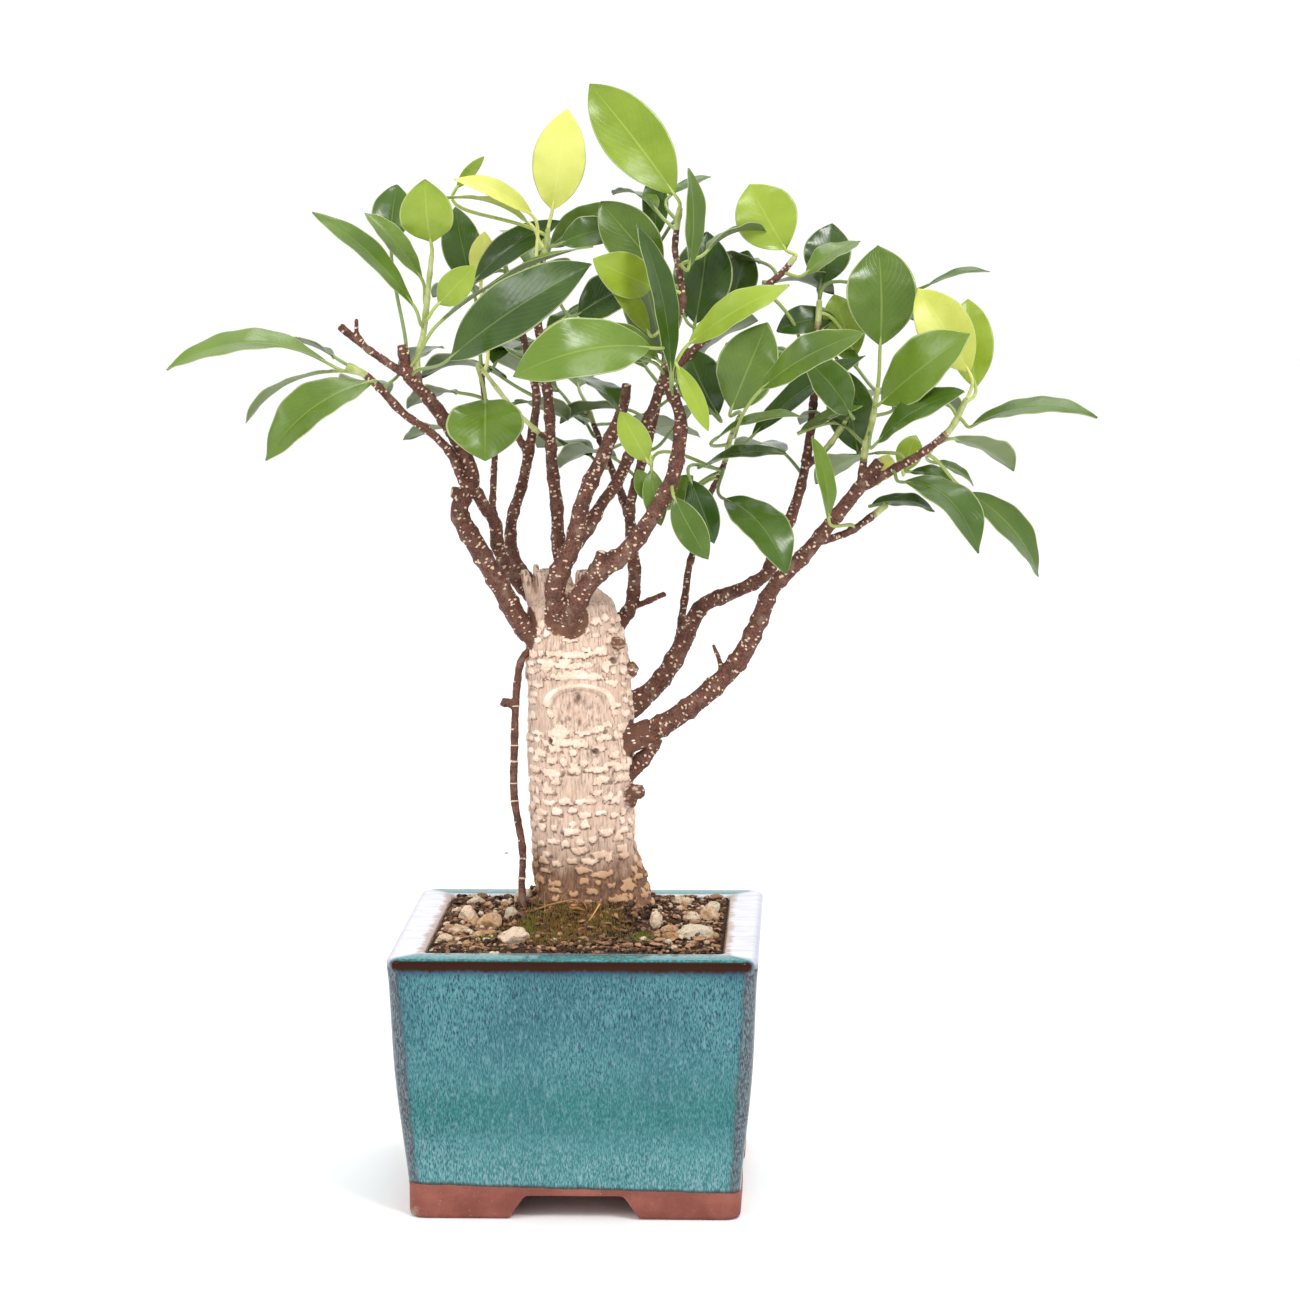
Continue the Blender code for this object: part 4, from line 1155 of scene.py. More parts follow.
@dataclass(frozen=True)
class TrunkFinish:
    """Pale old bark: cream plates ringed by painted shade, over grey-brown cracks, browner at foot and
    forks.
    """

    plate: Colour = (0.93, 0.76, 0.64)
    plate_stain: Colour = (0.72, 0.5, 0.37)
    bark: Colour = (0.7, 0.53, 0.435)
    # Also the colour of the painted shade round the plates
    crack_and_shade: Colour = (0.12, 0.066, 0.045)
    foot: Colour = (0.27, 0.14, 0.078)
    foot_plate: Colour = (0.6, 0.36, 0.2)
    fork: Colour = (0.14, 0.05, 0.032)

    def material(self) -> bpy.types.Material:
        """Mix the finish, which reads where plates, forks and hollows are, and the painted shade round the
        plates.
        """
        mix = Recipe("trunk_bark", 0.85, 0.25)
        here = mix.place(start=on_plant((0, 0, 0)))
        z = mix.split(here)[2]
        fine, wide = mix.grain(here, 1300.0, 4.0, 0.7), mix.grain(here, 120.0, 4.0)
        fibres = mix.grain(mix.place((1.0, 1.0, 0.14)), 1000.0, 4.0, 0.7)
        plate, fork, hollow = (mix.values(n) for n in ("plate", "fork", "hollow"))
        cream = mix.layer(
            mix.mix(mix.step(wide, 0.4, 0.7), self.plate_stain, self.plate),
            (mix.step(fine, 0.42, 0.7), self.plate))
        # Painted shade: the rim values darken a line round each plate, most under its lower edge
        rim = mix.step(mix.values("rim"), 0.15, 0.8, 0.0, 0.75)
        low = mix.plus(z, mix.times(wide, 22 * MM))
        foot = mix.layer(
            mix.mix(mix.step(fibres, 0.35, 0.65), self.crack_and_shade, self.foot),
            (mix.step(plate, 0.4, 0.8, 0.0, 0.8), self.foot_plate),
            (rim, self.crack_and_shade))
        patchy = mix.minus(mix.grain(mix.place((1.0, 1.0, 2.0)), 350.0, 3.0), 0.5)
        fork = mix.plus(fork, mix.times(patchy, 1.1))
        dots = mix.cells(mix.place((1.0, 1.0, 2.2)), 210.0)
        brown = mix.layer(
            mix.mix(mix.step(fine, 0.35, 0.65), self.crack_and_shade, self.fork),
            (mix.step(wide, 0.45, 0.7, 0.0, 0.5), self.foot),
            (mix.step(dots, 0.2, 0.13), self.plate))
        relief = mix.relief(fibres, 0.45 * MM)
        colour = mix.layer(
            mix.mix(mix.step(fibres, 0.3, 0.6, 0.12, 1.0), self.crack_and_shade, self.bark),
            (mix.step(wide, 0.3, 0.65, 0.1, 0.55), self.plate_stain),
            (mix.step(plate, 0.3, 0.6), cream),
            # Painted shade round the plates
            (rim, self.crack_and_shade),
            (mix.step(low, 50 * MM, 30 * MM), foot),
            (mix.step(fork, 0.4, 0.7), brown),
            (mix.step(hollow, 0.2, 0.9, 0.0, 0.85), self.crack_and_shade))
        return mix.serve(colour, mix.relief(fine, 0.2 * MM, relief), mix.step(fine, 0.3, 0.7, 0.72, 0.95))


@dataclass(frozen=True)
class TwigFinish:
    """Red-brown young bark with pale dots, turning green towards growing tips."""

    name: str = "twig_bark"
    dark: Colour = (0.032, 0.013, 0.01)
    red: Colour = (0.18, 0.066, 0.039)
    grey: Colour = (0.22, 0.15, 0.11)
    dot: Colour = (0.62, 0.47, 0.34)
    green: Colour = (0.3, 0.36, 0.1)
    fresh: Colour = (0.48, 0.5, 0.22)

    def material(self) -> bpy.types.Material:
        """Mix the finish, which reads the dots and how green a shoot is."""
        mix = Recipe(self.name, 0.6, 0.35)
        here = mix.place()
        fine, wide = mix.grain(here, 1400.0, 4.0, 0.7), mix.grain(here, 220.0, 4.0)
        shoot = mix.mix(mix.step(wide, 0.35, 0.65), self.green, self.fresh)
        youth = mix.plus(mix.values("youth"), mix.times(mix.minus(wide, 0.5), 0.5))
        relief = mix.relief(wide, 0.35 * MM)
        colour = mix.layer(
            mix.mix(mix.step(fine, 0.32, 0.66), self.dark, self.red),
            (mix.step(wide, 0.5, 0.3, 0.0, 0.65), self.dark),
            (mix.step(wide, 0.52, 0.72, 0.0, 0.6), self.grey),
            (mix.step(youth, 0.4, 0.62), shoot),
            (mix.step(mix.values("dot"), 0.3, 0.65), self.dot))
        return mix.serve(colour, mix.relief(fine, 0.12 * MM, relief), mix.step(youth, 0.3, 0.7, 0.68, 0.42))


@dataclass(frozen=True)
class Limb:
    """A tapering length of wood along points in millimetres, green past a share of it."""

    base_radius: float
    tip_radius: float
    line: tuple[Place, ...]
    green_from: float = 2.0


LIMBS = {
    "left_outer": Limb(4.6, 2.2, (
        (-14, 11, 118), (-25, 5, 127), (-33, 3, 142), (-42, 2, 158), (-50, 2, 173),
        (-47, 3, 182), (-45, 4, 189), (-50, 4, 202), (-58, 3, 215), (-64, 2, 223),
        (-70, 1, 230), (-73, 1, 243))),
    "left_stub": Limb(2.8, 2.4, ((-47, 3, 181), (-53, 1, 182))),
    "left_side": Limb(1.9, 1.6, (
        (-46, 3, 183), (-50, 1, 190), (-53, 0, 198), (-60, -2, 206), (-73, -4, 216),
        (-85, -5, 229), (-95, -6, 235)), 0.88),
    "left_upper": Limb(1.8, 1.5, ((-68, 2, 229), (-76, -1, 234), (-86, -2, 241), (-98, -4, 251))),
    "left_bud": Limb(1.2, 0.8, ((-88, -2, 243), (-91, -3, 248), (-91, -3, 254))),
    "left_inner": Limb(3.0, 2.4, (
        (-12, 18, 128), (-28, 16, 144), (-35, 15, 157), (-36, 14, 167), (-40, 10, 175),
        (-45, 5, 185))),
    "left_thin": Limb(1.5, 1.2, (
        (-36, 15, 167), (-38, 24, 175), (-38, 30, 185), (-38, 32, 198), (-42, 33, 220),
        (-43, 32, 233))),
    "left_green": Limb(1.5, 1.1, (
        (-66, 2, 226), (-67, 3, 236), (-64, 2, 248), (-62, 1, 264), (-60, 0, 280)), 0.12),
    "back_left": Limb(3.0, 1.1, (
        (-10, 20, 132), (-28, 28, 148), (-31, 31, 165), (-26, 32, 183), (-22, 33, 203),
        (-20, 34, 220), (-24, 38, 238), (-30, 43, 258), (-34, 46, 276)), 0.95),
    "back_left_cut": Limb(1.7, 1.5, ((-24, 33, 196), (-29, 33, 205), (-33, 34, 215))),
    "mid_back": Limb(3.1, 1.2, (
        (-6, 18, 132), (-10, 22, 154), (-11, 24, 173), (-13, 24, 193), (-14, 24, 216),
        (-16, 23, 235), (-18, 20, 253), (-16, 16, 273), (-13, 13, 290)), 0.93),
    "mid_back_green": Limb(1.2, 1.0, (
        (-14, 24, 201), (-22, 19, 209), (-28, 17, 215), (-34, 14, 223), (-41, 10, 233)), 0.15),
    "front_main": Limb(5.0, 2.0, (
        (-5, 8, 120), (-8, -4, 133), (-10, -7, 142), (-7, -7, 152), (-2, -6, 162),
        (1, -6, 176), (5, -5, 187), (10, -5, 197), (14, -4, 207), (18, -3, 216),
        (20, -2, 227))),
    "front_fork": Limb(2.8, 1.9, (
        (-4, -6, 158), (4, -1, 168), (9, 4, 177), (15, 7, 185), (20, 9, 196),
        (25, 10, 206), (30, 11, 216), (34, 12, 227))),
    "front_right": Limb(4.6, 2.0, (
        (-4, 5, 122), (-2, -9, 135), (8, -13, 150), (20, -14, 159), (31, -15, 174),
        (39, -15, 189), (42, -15, 204), (42, -14, 216), (37, -13, 229), (37, -11, 242))),
    "front_cut": Limb(2.6, 2.4, ((8, -13, 149), (10, -16, 159))),
    "top_centre": Limb(1.7, 1.3, (
        (37, -11, 240), (38, -9, 250), (43, -6, 259), (42, -4, 272), (40, -2, 283),
        (42, 0, 299)), 0.85),
    "top_right": Limb(1.8, 1.3, (
        (34, 12, 225), (45, 15, 238), (57, 18, 249), (68, 20, 259), (82, 21, 270),
        (89, 22, 278)), 0.95),
    "back_main": Limb(3.2, 1.5, (
        (6, 25, 118), (18, 33, 128), (21, 34, 142), (20, 36, 156), (19, 40, 172),
        (23, 47, 188), (28, 56, 206), (32, 64, 226))),
    "back_twig": Limb(1.4, 1.2, ((20, 33, 130), (27, 33, 133), (34, 33, 136))),
    "back_far": Limb(2.0, 1.2, ((20, 38, 164), (14, 54, 178), (6, 72, 194), (-2, 86, 212)), 0.85),
    "right_upper": Limb(4.4, 1.3, (
        (8, 19, 82), (24, 21, 93), (31, 22, 99), (39, 23, 111), (45, 23, 124),
        (50, 23, 132), (58, 23, 136), (68, 23, 140), (77, 23, 146), (81, 23, 157),
        (87, 23, 169), (92, 23, 185), (95, 23, 203), (97, 24, 223), (98, 26, 242),
        (99, 28, 260)), 0.95),
    "right_fork": Limb(1.5, 1.2, ((93, 23, 190), (103, 17, 200), (110, 13, 211)), 0.3),
    "right_thin": Limb(1.7, 1.1, (
        (39, 23, 110), (40, 31, 120), (42, 37, 133), (44, 38, 147), (49, 37, 164),
        (53, 32, 178), (59, 24, 191), (62, 14, 203), (66, 6, 213)), 0.78),
    "right_lower": Limb(5.0, 2.4, (
        (8, 10, 74), (26, 9, 80), (39, 8, 87), (53, 7, 98), (66, 6, 112),
        (74, 5, 128), (80, 4, 142), (93, 2, 156), (106, 0, 172), (117, -1, 186),
        (124, -2, 195))),
    "right_twiglet": Limb(1.2, 0.8, ((56, 7, 102), (58, 6, 109), (55, 5, 118))),
    "right_tip": Limb(2.0, 1.3, (
        (117, -1, 184), (128, -4, 191), (140, -6, 198), (152, -8, 208), (159, -9, 221)), 0.72),
    "right_rise": Limb(1.7, 1.2, ((116, -1, 185), (118, 1, 200), (121, 3, 212), (123, 4, 225)), 0.25),
    "right_level": Limb(1.7, 1.4, ((98, 1, 161), (111, 5, 165), (119, 8, 170), (127, 10, 176)), 0.8),
}

BRANCHES = {
    "branch_left": ("left_outer", "left_stub", "left_side", "left_upper", "left_bud",
                    "left_inner", "left_thin", "left_green"),
    "branch_back_left": ("back_left", "back_left_cut"),
    "branch_mid_back": ("mid_back", "mid_back_green"),
    "branch_front": ("front_main", "front_fork", "front_right", "front_cut", "top_centre",
                     "top_right"),
    "branch_back": ("back_main", "back_twig", "back_far"),
    "branch_right_upper": ("right_upper", "right_fork", "right_thin"),
    "branch_right_lower": ("right_lower", "right_twiglet", "right_tip", "right_rise",
                           "right_level"),
}

STUBS = (
    Limb(3.4, 1.6, ((-18, 12, 128), (-22, 10, 141), (-24, 9, 149))),
    Limb(2.2, 0.9, ((-16, 13, 130), (-19, 12, 142), (-19, 12, 151))),
    Limb(4.6, 4.1, ((-13, 10, 128), (-14, 8, 142), (-15, 7, 149))),
    Limb(4.8, 4.3, ((1, 12, 128), (2, 11, 142), (2, 10, 148))),
    Limb(6.4, 3.6, ((14, 9, 51), (19, 7, 53), (21, 6, 54))),
    Limb(3.6, 2.2, ((20, 7, 55), (24, 6, 56), (25.5, 6, 56.5))),
    Limb(3.2, 1.8, ((13, 5, 118), (16, -1, 119), (17, -3, 119))),
    Limb(3.4, 2.2, ((16, 12, 103), (21, 11, 107), (22.5, 11, 108))),
)

DEAD_TWIG = Limb(5.0, 2.2, ((10, 12, 58), (20, 11, 64), (27, 10, 71), (32, 9, 78)))
ROOT_LINE = Limb(1.7, 1.5, (
    (-12, 11, 119), (-24, 6, 113), (-27, 5, 100), (-28, 4, 81), (-28.6, 4, 56),
    (-27, 3, 44), (-25, 2, 31), (-25.4, 1, 15), (-24, 0, 2), (-23, 0, -8)))
ROOT_KNOT = Limb(2.1, 1.5, ((-27, 5, 92), (-32, 4, 94), (-33, 4, 92)))


def limb_line(limb: Limb, step: float) -> list[tuple[Vector, float, float]]:
    """Follow a limb along a smooth line.

    Args:
        limb: The limb.
        step: How far apart the line's points are, in metres.

    Returns:
        For each point, its place, share of the whole length and radius, in metres.
    """
    spans = len(limb.line) - 1
    drawn = smooth_line([on_plant(p) for p in limb.line], step)
    total, gone, made = 0.0, 0.0, []
    for (a, _), (b, _) in zip(drawn, drawn[1:]):
        total += (b - a).length
    for index, (place, span) in enumerate(drawn):
        if index:
            gone += (place - drawn[index - 1][0]).length
        radius = limb.base_radius + (limb.tip_radius - limb.base_radius) * span / spans
        made.append((place, gone / total, radius * MM))
    return made


def knobbly(name: str, line: list[tuple[Vector, float, float]], dice: random.Random,
            knot_gap: float = 11.0, knot: float = 0.2) -> Item:
    """Make a limb's round length with a swelling at each old leaf scar.

    Args:
        name: The object's name.
        line: The limb's line, as limb_line gives it.
        dice: Where the spacing comes from.
        knot_gap: About how far apart the swellings are, in millimetres.
        knot: How much thicker a swelling is, as a share.

    Returns:
        The length.
    """
    length = sum((b[0] - a[0]).length for a, b in zip(line, line[1:])) / MM
    knots, at = [], dice.uniform(0.3, 1.0) * knot_gap
    while at < length - 2.0:
        knots.append(at)
        at += knot_gap * dice.uniform(0.6, 1.4)
    radii = []
    for place, share, radius in line:
        swell = sum(math.exp(-((share * length - k) / 1.3) ** 2) for k in knots)
        drift = noise.noise(place * 90.0) * 0.1
        radii.append(radius * (1.0 + knot * min(swell, 1.0) + drift))
    return tube(name, [p for p, _, _ in line], radii)


def fuse(items: Sequence[Item], name: str, cell: float, smooth: int) -> Item:
    """Grow round lengths together into one skin.

    Args:
        items: The lengths.
        name: The name of what they become.
        cell: The skin's mesh size, in metres.
        smooth: How often the skin is smoothed.

    Returns:
        The one closed skin.
    """
    item = join_into(items, name)
    skin = item.modifiers.new("skin", "REMESH")
    skin.mode, skin.voxel_size = "VOXEL", cell
    soft = item.modifiers.new("soft", "SMOOTH")
    soft.factor, soft.iterations = 0.5, smooth
    return apply_all(item)


def tree_of(places: Sequence[Vector]) -> kdtree.KDTree:
    """Return a search tree of points."""
    tree = kdtree.KDTree(len(places))
    for index, place in enumerate(places):
        tree.insert(place, index)
    tree.balance()
    return tree


@dataclass
class Branch:
    """One branch with its side limbs, fused, dotted with pores and green at its tips."""

    name: str
    node: str
    limbs: tuple[Limb, ...]
    finish: bpy.types.Material
    slot: str = "twig_bark"
    cell: float = 0.46 * MM
    dot_gap: float = 3.0
    dot_flat: float = 2.6
    cut_from: float = 0.9 * MM
    dot_size: tuple[float, float] = (0.6, 0.95)
    dot_height: float = 0.22
    knot: float = 0.2

    def pores(self, dice: random.Random) -> list[tuple[Vector, float, Vector]]:
        """Place the pale pores over the limbs' skin.

        Args:
            dice: Where the spacing comes from.

        Returns:
            Each pore's middle, its radius in metres and the limb's way there.
        """
        found = []
        for limb in self.limbs:
            line = limb_line(limb, 1.0 * MM)
            for (a, share, radius), (b, _, _) in zip(line, line[1:]):
                if share > limb.green_from:
                    continue
                way = (b - a).normalized()
                side = way.orthogonal().normalized()
                around = math.tau * radius / MM
                for _ in range(int(around / self.dot_gap ** 2 + dice.random())):
                    out = Matrix.Rotation(dice.uniform(0, math.tau), 3, way) @ side
                    size = dice.uniform(*self.dot_size) * MM
                    found.append((a.lerp(b, dice.random()) + out * radius * 1.04, size, way))
            end, _, radius = line[-1]
            if limb.green_from > 1.0 and radius > self.cut_from:
                found.append((end, radius * 0.95, side))
        return found

    def build(self) -> Item:
        """Make the branch.

        Returns:
            The finished branch.
        """
        dice = random.Random(f"{SEED} {self.name}")
        lines = [limb_line(limb, 1.6 * MM) for limb in self.limbs]
        item = fuse([knobbly(self.name, line, dice, knot=self.knot) for line in lines],
                    self.name, self.cell, 2)
        pores = self.pores(dice)
        tree = tree_of([pore[0] for pore in pores])
        wood = [(place, limb, share) for limb, line in zip(self.limbs, lines) for place, share, _ in line]
        core = tree_of([entry[0] for entry in wood])
        points, normals = points_of(item), normals_of(item)
        dots, youth, lift = (np.zeros(len(points)) for _ in range(3))
        for index, point in enumerate(points):
            if pores:
                _, near, away = tree.find(point)
                place, size, way = pores[near]
                along = (Vector(point) - place).dot(way)
                away = math.sqrt(away ** 2 + self.dot_flat * along ** 2)
                dots[index] = 1.0 - soft_step(away / size, 0.6, 1.15)
            _, near, _ = core.find(point)
            _, limb, share = wood[near]
            youth[index] = soft_step(share, limb.green_from - 0.08, limb.green_from + 0.08)
            spot = Vector(point) * 330.0
            lift[index] = noise.noise(spot) * 0.22 + noise.noise(spot * 3.1) * 0.12
        lift = (lift * (1.0 - 0.7 * youth) + dots * self.dot_height) * MM
        move_points(item, points + normals * lift[:, None])
        add_values(item, "dot", dots)
        add_values(item, "youth", youth)
        return finish_piece(item, self.finish, self.slot, [self.node])


@dataclass
class Plates:
    """Raised pale plates on the trunk: their middles, half sizes and heights."""

    rows: list[tuple[float, float, float, float, float]] = field(default_factory=list)

    def scatter(self, dice: random.Random, around: float, low: float, high: float) -> None:
        """Lay plates in loose rows round the trunk.

        Args:
            dice: Where the numbers come from.
            around: The trunk's girth in millimetres.
            low: The lowest row's height.
            high: The highest row's height.
        """
        z = low
        while z < high:
            s = dice.uniform(0.0, 6.0)
            while s < around - 3.0:
                half = dice.choice((1.5, 2.0, 2.6, 3.2, 4.0, 5.0)) * dice.uniform(0.8, 1.15)
                tall = dice.uniform(1.1, 1.9)
                if dice.random() < 0.84:
                    self.rows.append((s + half, z + dice.uniform(-1.6, 1.6), half, tall,
                                      dice.uniform(0.55, 1.0)))
                s += 2 * half + dice.uniform(0.5, 3.0)
            z += dice.uniform(3.5, 4.8)


@dataclass
class Trunk:
    """The thick trunk: flared foot, plated bark, a healed scar, knots and cut stubs."""

    line: tuple[Place, ...] = (
        (1, 16, -24), (2, 16, -4), (3, 16, 13), (0, 16, 29), (-1, 15, 52), (-1, 15, 70),
        (-1, 15, 90), (-2, 14, 109), (-4, 14, 123), (-5, 13, 135), (-5, 13, 141))
    radii: tuple[float, ...] = (17, 26, 23.6, 21.6, 21.6, 22.4, 21.9, 21.4, 20.0, 17.5, 11.5)
    flare_top: float = 22.0
    flare_reach: float = 7.0
    flare_roots: int = 4
    flare_turn: float = math.radians(-28.0)
    cell: float = 0.62 * MM
    scar: Place = (-0.5, -8.0, 94.5)
    scar_half: tuple[float, float] = (13.5, 8.0)
    mean_radius: float = 22.0
    front_plates: tuple[tuple[float, float, float, float, float], ...] = (
        (0, 115, 11, 1.4, 0.7), (-1, 110.6, 10, 1.2, 0.6), (0, 106.6, 12.5, 1.7, 0.8),
        (8, 84, 4.0, 1.6, 0.7), (-3, 78.5, 6.5, 1.6, 0.7))
    knots: tuple[Place, ...] = ((6.0, 75.0, 1.7), (-12.0, 79.0, 1.4), (13.0, 112.0, 1.8))
    finish: TrunkFinish = TrunkFinish()

    def core(self) -> list[Item]:
        """Make the trunk's round length, its stubs and the collars of its branches."""
        drawn = smooth_line([on_plant(p) for p in self.line], 4.0 * MM)
        radii = []
        for _, span in drawn:
            index = min(int(span), len(self.radii) - 2)
            share = span - index
            radii.append((self.radii[index] * (1 - share) + self.radii[index + 1] * share) * MM)
        parts = [tube("core", [p for p, _ in drawn], radii, 12)]
        for limb in STUBS:
            line = limb_line(limb, 1.5 * MM)
            parts.append(tube("stub", [p for p, _, _ in line], [r for _, _, r in line]))
        for limb, reach in self.collars():
            line = [entry for entry in limb_line(limb, 1.5 * MM)
                    if (entry[0] - on_plant(limb.line[0])).length < reach * MM]
            grown = [r * (1.5 - 0.42 * k / len(line)) for k, (_, _, r) in enumerate(line)]
            parts.append(tube("collar", [p for p, _, _ in line], grown))
        return parts

    def collars(self) -> list[tuple[Limb, float]]:
        """List the limbs that leave the trunk, with how far their collars reach."""
        reaches = {"left_outer": 15.0, "left_inner": 16.0, "back_left": 17.0, "mid_back": 14.0,
                   "front_main": 16.0, "front_right": 15.0, "back_main": 15.0, "right_upper": 22.0,
                   "right_lower": 23.0}
        return [(LIMBS[name], reach) for name, reach in reaches.items()]

    def flare(self, points: np.ndarray) -> np.ndarray:
        """Spread the trunk's foot into roots.

        Args:
            points: The skin's points.

        Returns:
            The spread points.
        """
        axis, top = on_plant(self.line[1]), on_plant((0, 0, self.flare_top)).z
        out = points[:, :2] - np.array(axis[:2])
        angle = np.arctan2(out[:, 1], out[:, 0]) - self.flare_turn
        lobe = (0.5 + 0.5 * np.cos(self.flare_roots * angle)) ** 1.4
        fall = np.clip((top - points[:, 2]) / (top - axis.z), 0.0, 1.0) ** 1.3
        reach = self.flare_reach * MM * lobe * fall
        length = np.maximum(np.linalg.norm(out, axis=1), MM)
        points[:, :2] += out / length[:, None] * reach[:, None]
        return points

    def build(self) -> Item:
        """Make the trunk.

        Returns:
            The finished trunk.
        """
        item = fuse(self.core(), "bark_trunk", self.cell, 5)
        points = self.flare(points_of(item))
        move_points(item, points)
        normals = normals_of(item)
        local = (points - np.array(on_plant((0, 0, 0)))) / MM
        axis_x = np.interp(local[:, 2], [p[2] for p in self.line], [p[0] for p in self.line])
        axis_y = np.interp(local[:, 2], [p[2] for p in self.line], [p[1] for p in self.line])
        side, back = local[:, 0] - axis_x, local[:, 1] - axis_y
        girth = 2 * math.pi * self.mean_radius
        around = (np.arctan2(back, side) / (2 * math.pi) + 0.5) * girth
        front = 0.25 * girth
        z = local[:, 2]

        dice = random.Random(SEED + 4)
        plates = Plates([(front + dx, *rest) for dx, *rest in self.front_plates])
        plates.scatter(dice, girth, 3.0, 132.0)
        ragged = cloudy(local, 0.55, 0.55) * 0.55 + cloudy(local, 1.5, 1.5) * 0.3
        cover, lift, rim = (np.zeros(len(points)) for _ in range(3))
        for s, height, half, tall, raise_by in plates.rows:
            du = ((around - s + girth / 2) % girth - girth / 2) / half
            bow = height + 0.5 * tall * np.clip(du, -1.5, 1.5) ** 2 * math.sin(7.0 * height)
            r = (np.abs(du) ** 3.0 + np.abs((z - bow) / tall) ** 2.6) ** 0.37 + ragged
            shape = 1.0 - soft_steps(r, 0.74, 1.06)
            under = soft_steps((bow - z) / tall, -0.7, 0.9)
            # Painted shade: a dark line round the plate, stronger below it, where the raised plate shades
            # the bark
            rim = np.maximum(rim, np.exp(-((r - 1.1) / 0.17) ** 2) * (0.35 + 0.65 * under))
            cover = np.maximum(cover, shape)
            lift = np.maximum(lift, shape * raise_by)
        rim *= 1.0 - cover

        on_front = soft_steps(-back, 6.0, 12.0)
        sx = (local[:, 0] - self.scar[0]) / self.scar_half[0]
        sz = (z - self.scar[2]) / self.scar_half[1]
        ring = np.hypot(sx, sz)
        upper = soft_steps(sz, -0.35, 0.15) * on_front
        ridge = np.exp(-((ring - 1.0) / 0.1) ** 2) * upper
        bowl = np.hypot(sx / 0.82, (z - 91.0) / 9.5)
        inner = (1.0 - soft_steps(bowl, 0.7, 1.05)) * (1.0 - soft_steps(ring * (sz > 0), 0.8, 0.95))
        inner *= on_front
        folds = np.cos(14.0 * np.arctan2(sx, (z - 84.0) / 9.0)) * inner * (ring > 0.25)
        pit = np.exp(-(((local[:, 0] + 0.7) / 1.7) ** 2 + ((z - 97.0) / 2.4) ** 2)) * on_front
        rough = cloudy(local, 0.5, 0.35)
        clear = (1 - 0.85 * inner) * (1 - upper * (np.abs(ring - 1.0) < 0.35))
        cover = np.clip(cover * clear + ridge, 0.0, 1.0)
        lift = lift * clear + ridge * 1.0 - inner * (0.4 + rough * 0.8) - pit * 2.2
        lift += folds * 0.22
        rim = np.maximum(rim * clear, np.exp(-((ring - 0.76) / 0.1) ** 2) * upper * 0.5)

        cracks = cloudy(local, 1.3, 0.22)
        lift += (1 - cover) * cracks * 0.45 + ragged * 0.12 - rim * 0.3
        lumps = cloudy(local, 0.09, 0.06)
        lift += lumps * 0.9 + (1 - soft_steps(z, 0.0, 26.0)) * rough * 1.4
        for kx, kz, size in self.knots:
            knot = np.hypot((local[:, 0] - kx) / size, (z - kz) / size)
            near = (1.0 - soft_steps(knot, 1.0, 1.9)) * on_front
            lift += near * 0.9 - (1.0 - soft_steps(knot, 0.2, 0.9)) * on_front * 1.3
            pit = np.maximum(pit, (1.0 - soft_steps(knot, 0.4, 1.3)) * on_front)

        fork = self.fork_brown(points)
        for limb in STUBS[-4:]:
            away = np.linalg.norm(local - np.array(limb.line[-1]), axis=1)
            fork = np.maximum(fork, 0.7 * (1.0 - soft_steps(away, 3.0, 8.0)))
        lift *= 1.0 - 0.6 * fork
        move_points(item, points + normals * (lift * MM)[:, None])
        torn = soft_steps(z, 139.0, 144.0) * 0.8
        add_values(item, "plate", cover * (1 - 0.6 * soft_steps(fork, 0.2, 0.6)))
        # The rim values are painted shade round the plates, with a dark ring inside the scar's ridge
        add_values(item, "rim", rim * (1 - fork))
        add_values(item, "fork", fork)
        add_values(item, "hollow", np.clip(pit + inner * np.clip(0.15 + rough, 0.0, 0.6)
                                           + torn * (cracks > 0.05), 0.0, 1.0))
        return finish_piece(item, self.finish.material(), "trunk_bark", ["trunk"])

    def fork_brown(self, points: np.ndarray) -> np.ndarray:
        """Find where the trunk's bark is as brown as the branches.

        Args:
            points: The skin's points.

        Returns:
            For each point, 1 where it is brown and 0 on the old pale bark.
        """
        brown = np.zeros(len(points))
        axis = np.array(on_plant((-3, 14, 0)))[:2]
        for limb, reach in self.collars():
            for place, _, radius in limb_line(limb, 2.0 * MM):
                if (place - on_plant(limb.line[0])).length > reach * 1.3 * MM:
                    break
                free = (math.dist(place[:2], axis) / MM - 14.0) / 8.0
                if free <= 0.0 and limb not in (LIMBS["front_main"], LIMBS["front_right"]):
                    continue
                away = np.linalg.norm(points - np.array(place), axis=1)
                near = 1.0 - soft_steps(away / MM, radius / MM + 1.2, radius / MM + 4.6)
                brown = np.maximum(brown, near)
        return brown


@dataclass
class AerialRoot(Branch):
    """The thin root that leaves the trunk high up and enters the soil, ringed with scars."""

    ring_gap: float = 7.0

    def pores(self, dice: random.Random) -> list[tuple[Vector, float, Vector]]:
        """Place pale scars in rings round the root.

        Args:
            dice: Where the spacing comes from.

        Returns:
            Each scar's middle, its radius in metres and the root's way there.
        """
        found, next_ring = [], 1.5
        line = limb_line(self.limbs[0], 0.6 * MM)
        gone = 0.0
        for (a, _, radius), (b, _, _) in zip(line, line[1:]):
            gone += (b - a).length / MM
            if gone < next_ring:
                continue
            next_ring = gone + self.ring_gap * dice.uniform(0.5, 1.6)
            way = (b - a).normalized()
            side = way.orthogonal().normalized()
            start, span = dice.uniform(0, math.tau), dice.uniform(3.0, math.tau)
            for k in range(14):
                out = Matrix.Rotation(start + span * k / 14, 3, way) @ side
                found.append((a + out * radius, 0.62 * MM, way))
        return found


# ------------------------------------------------------------------------------ leaves


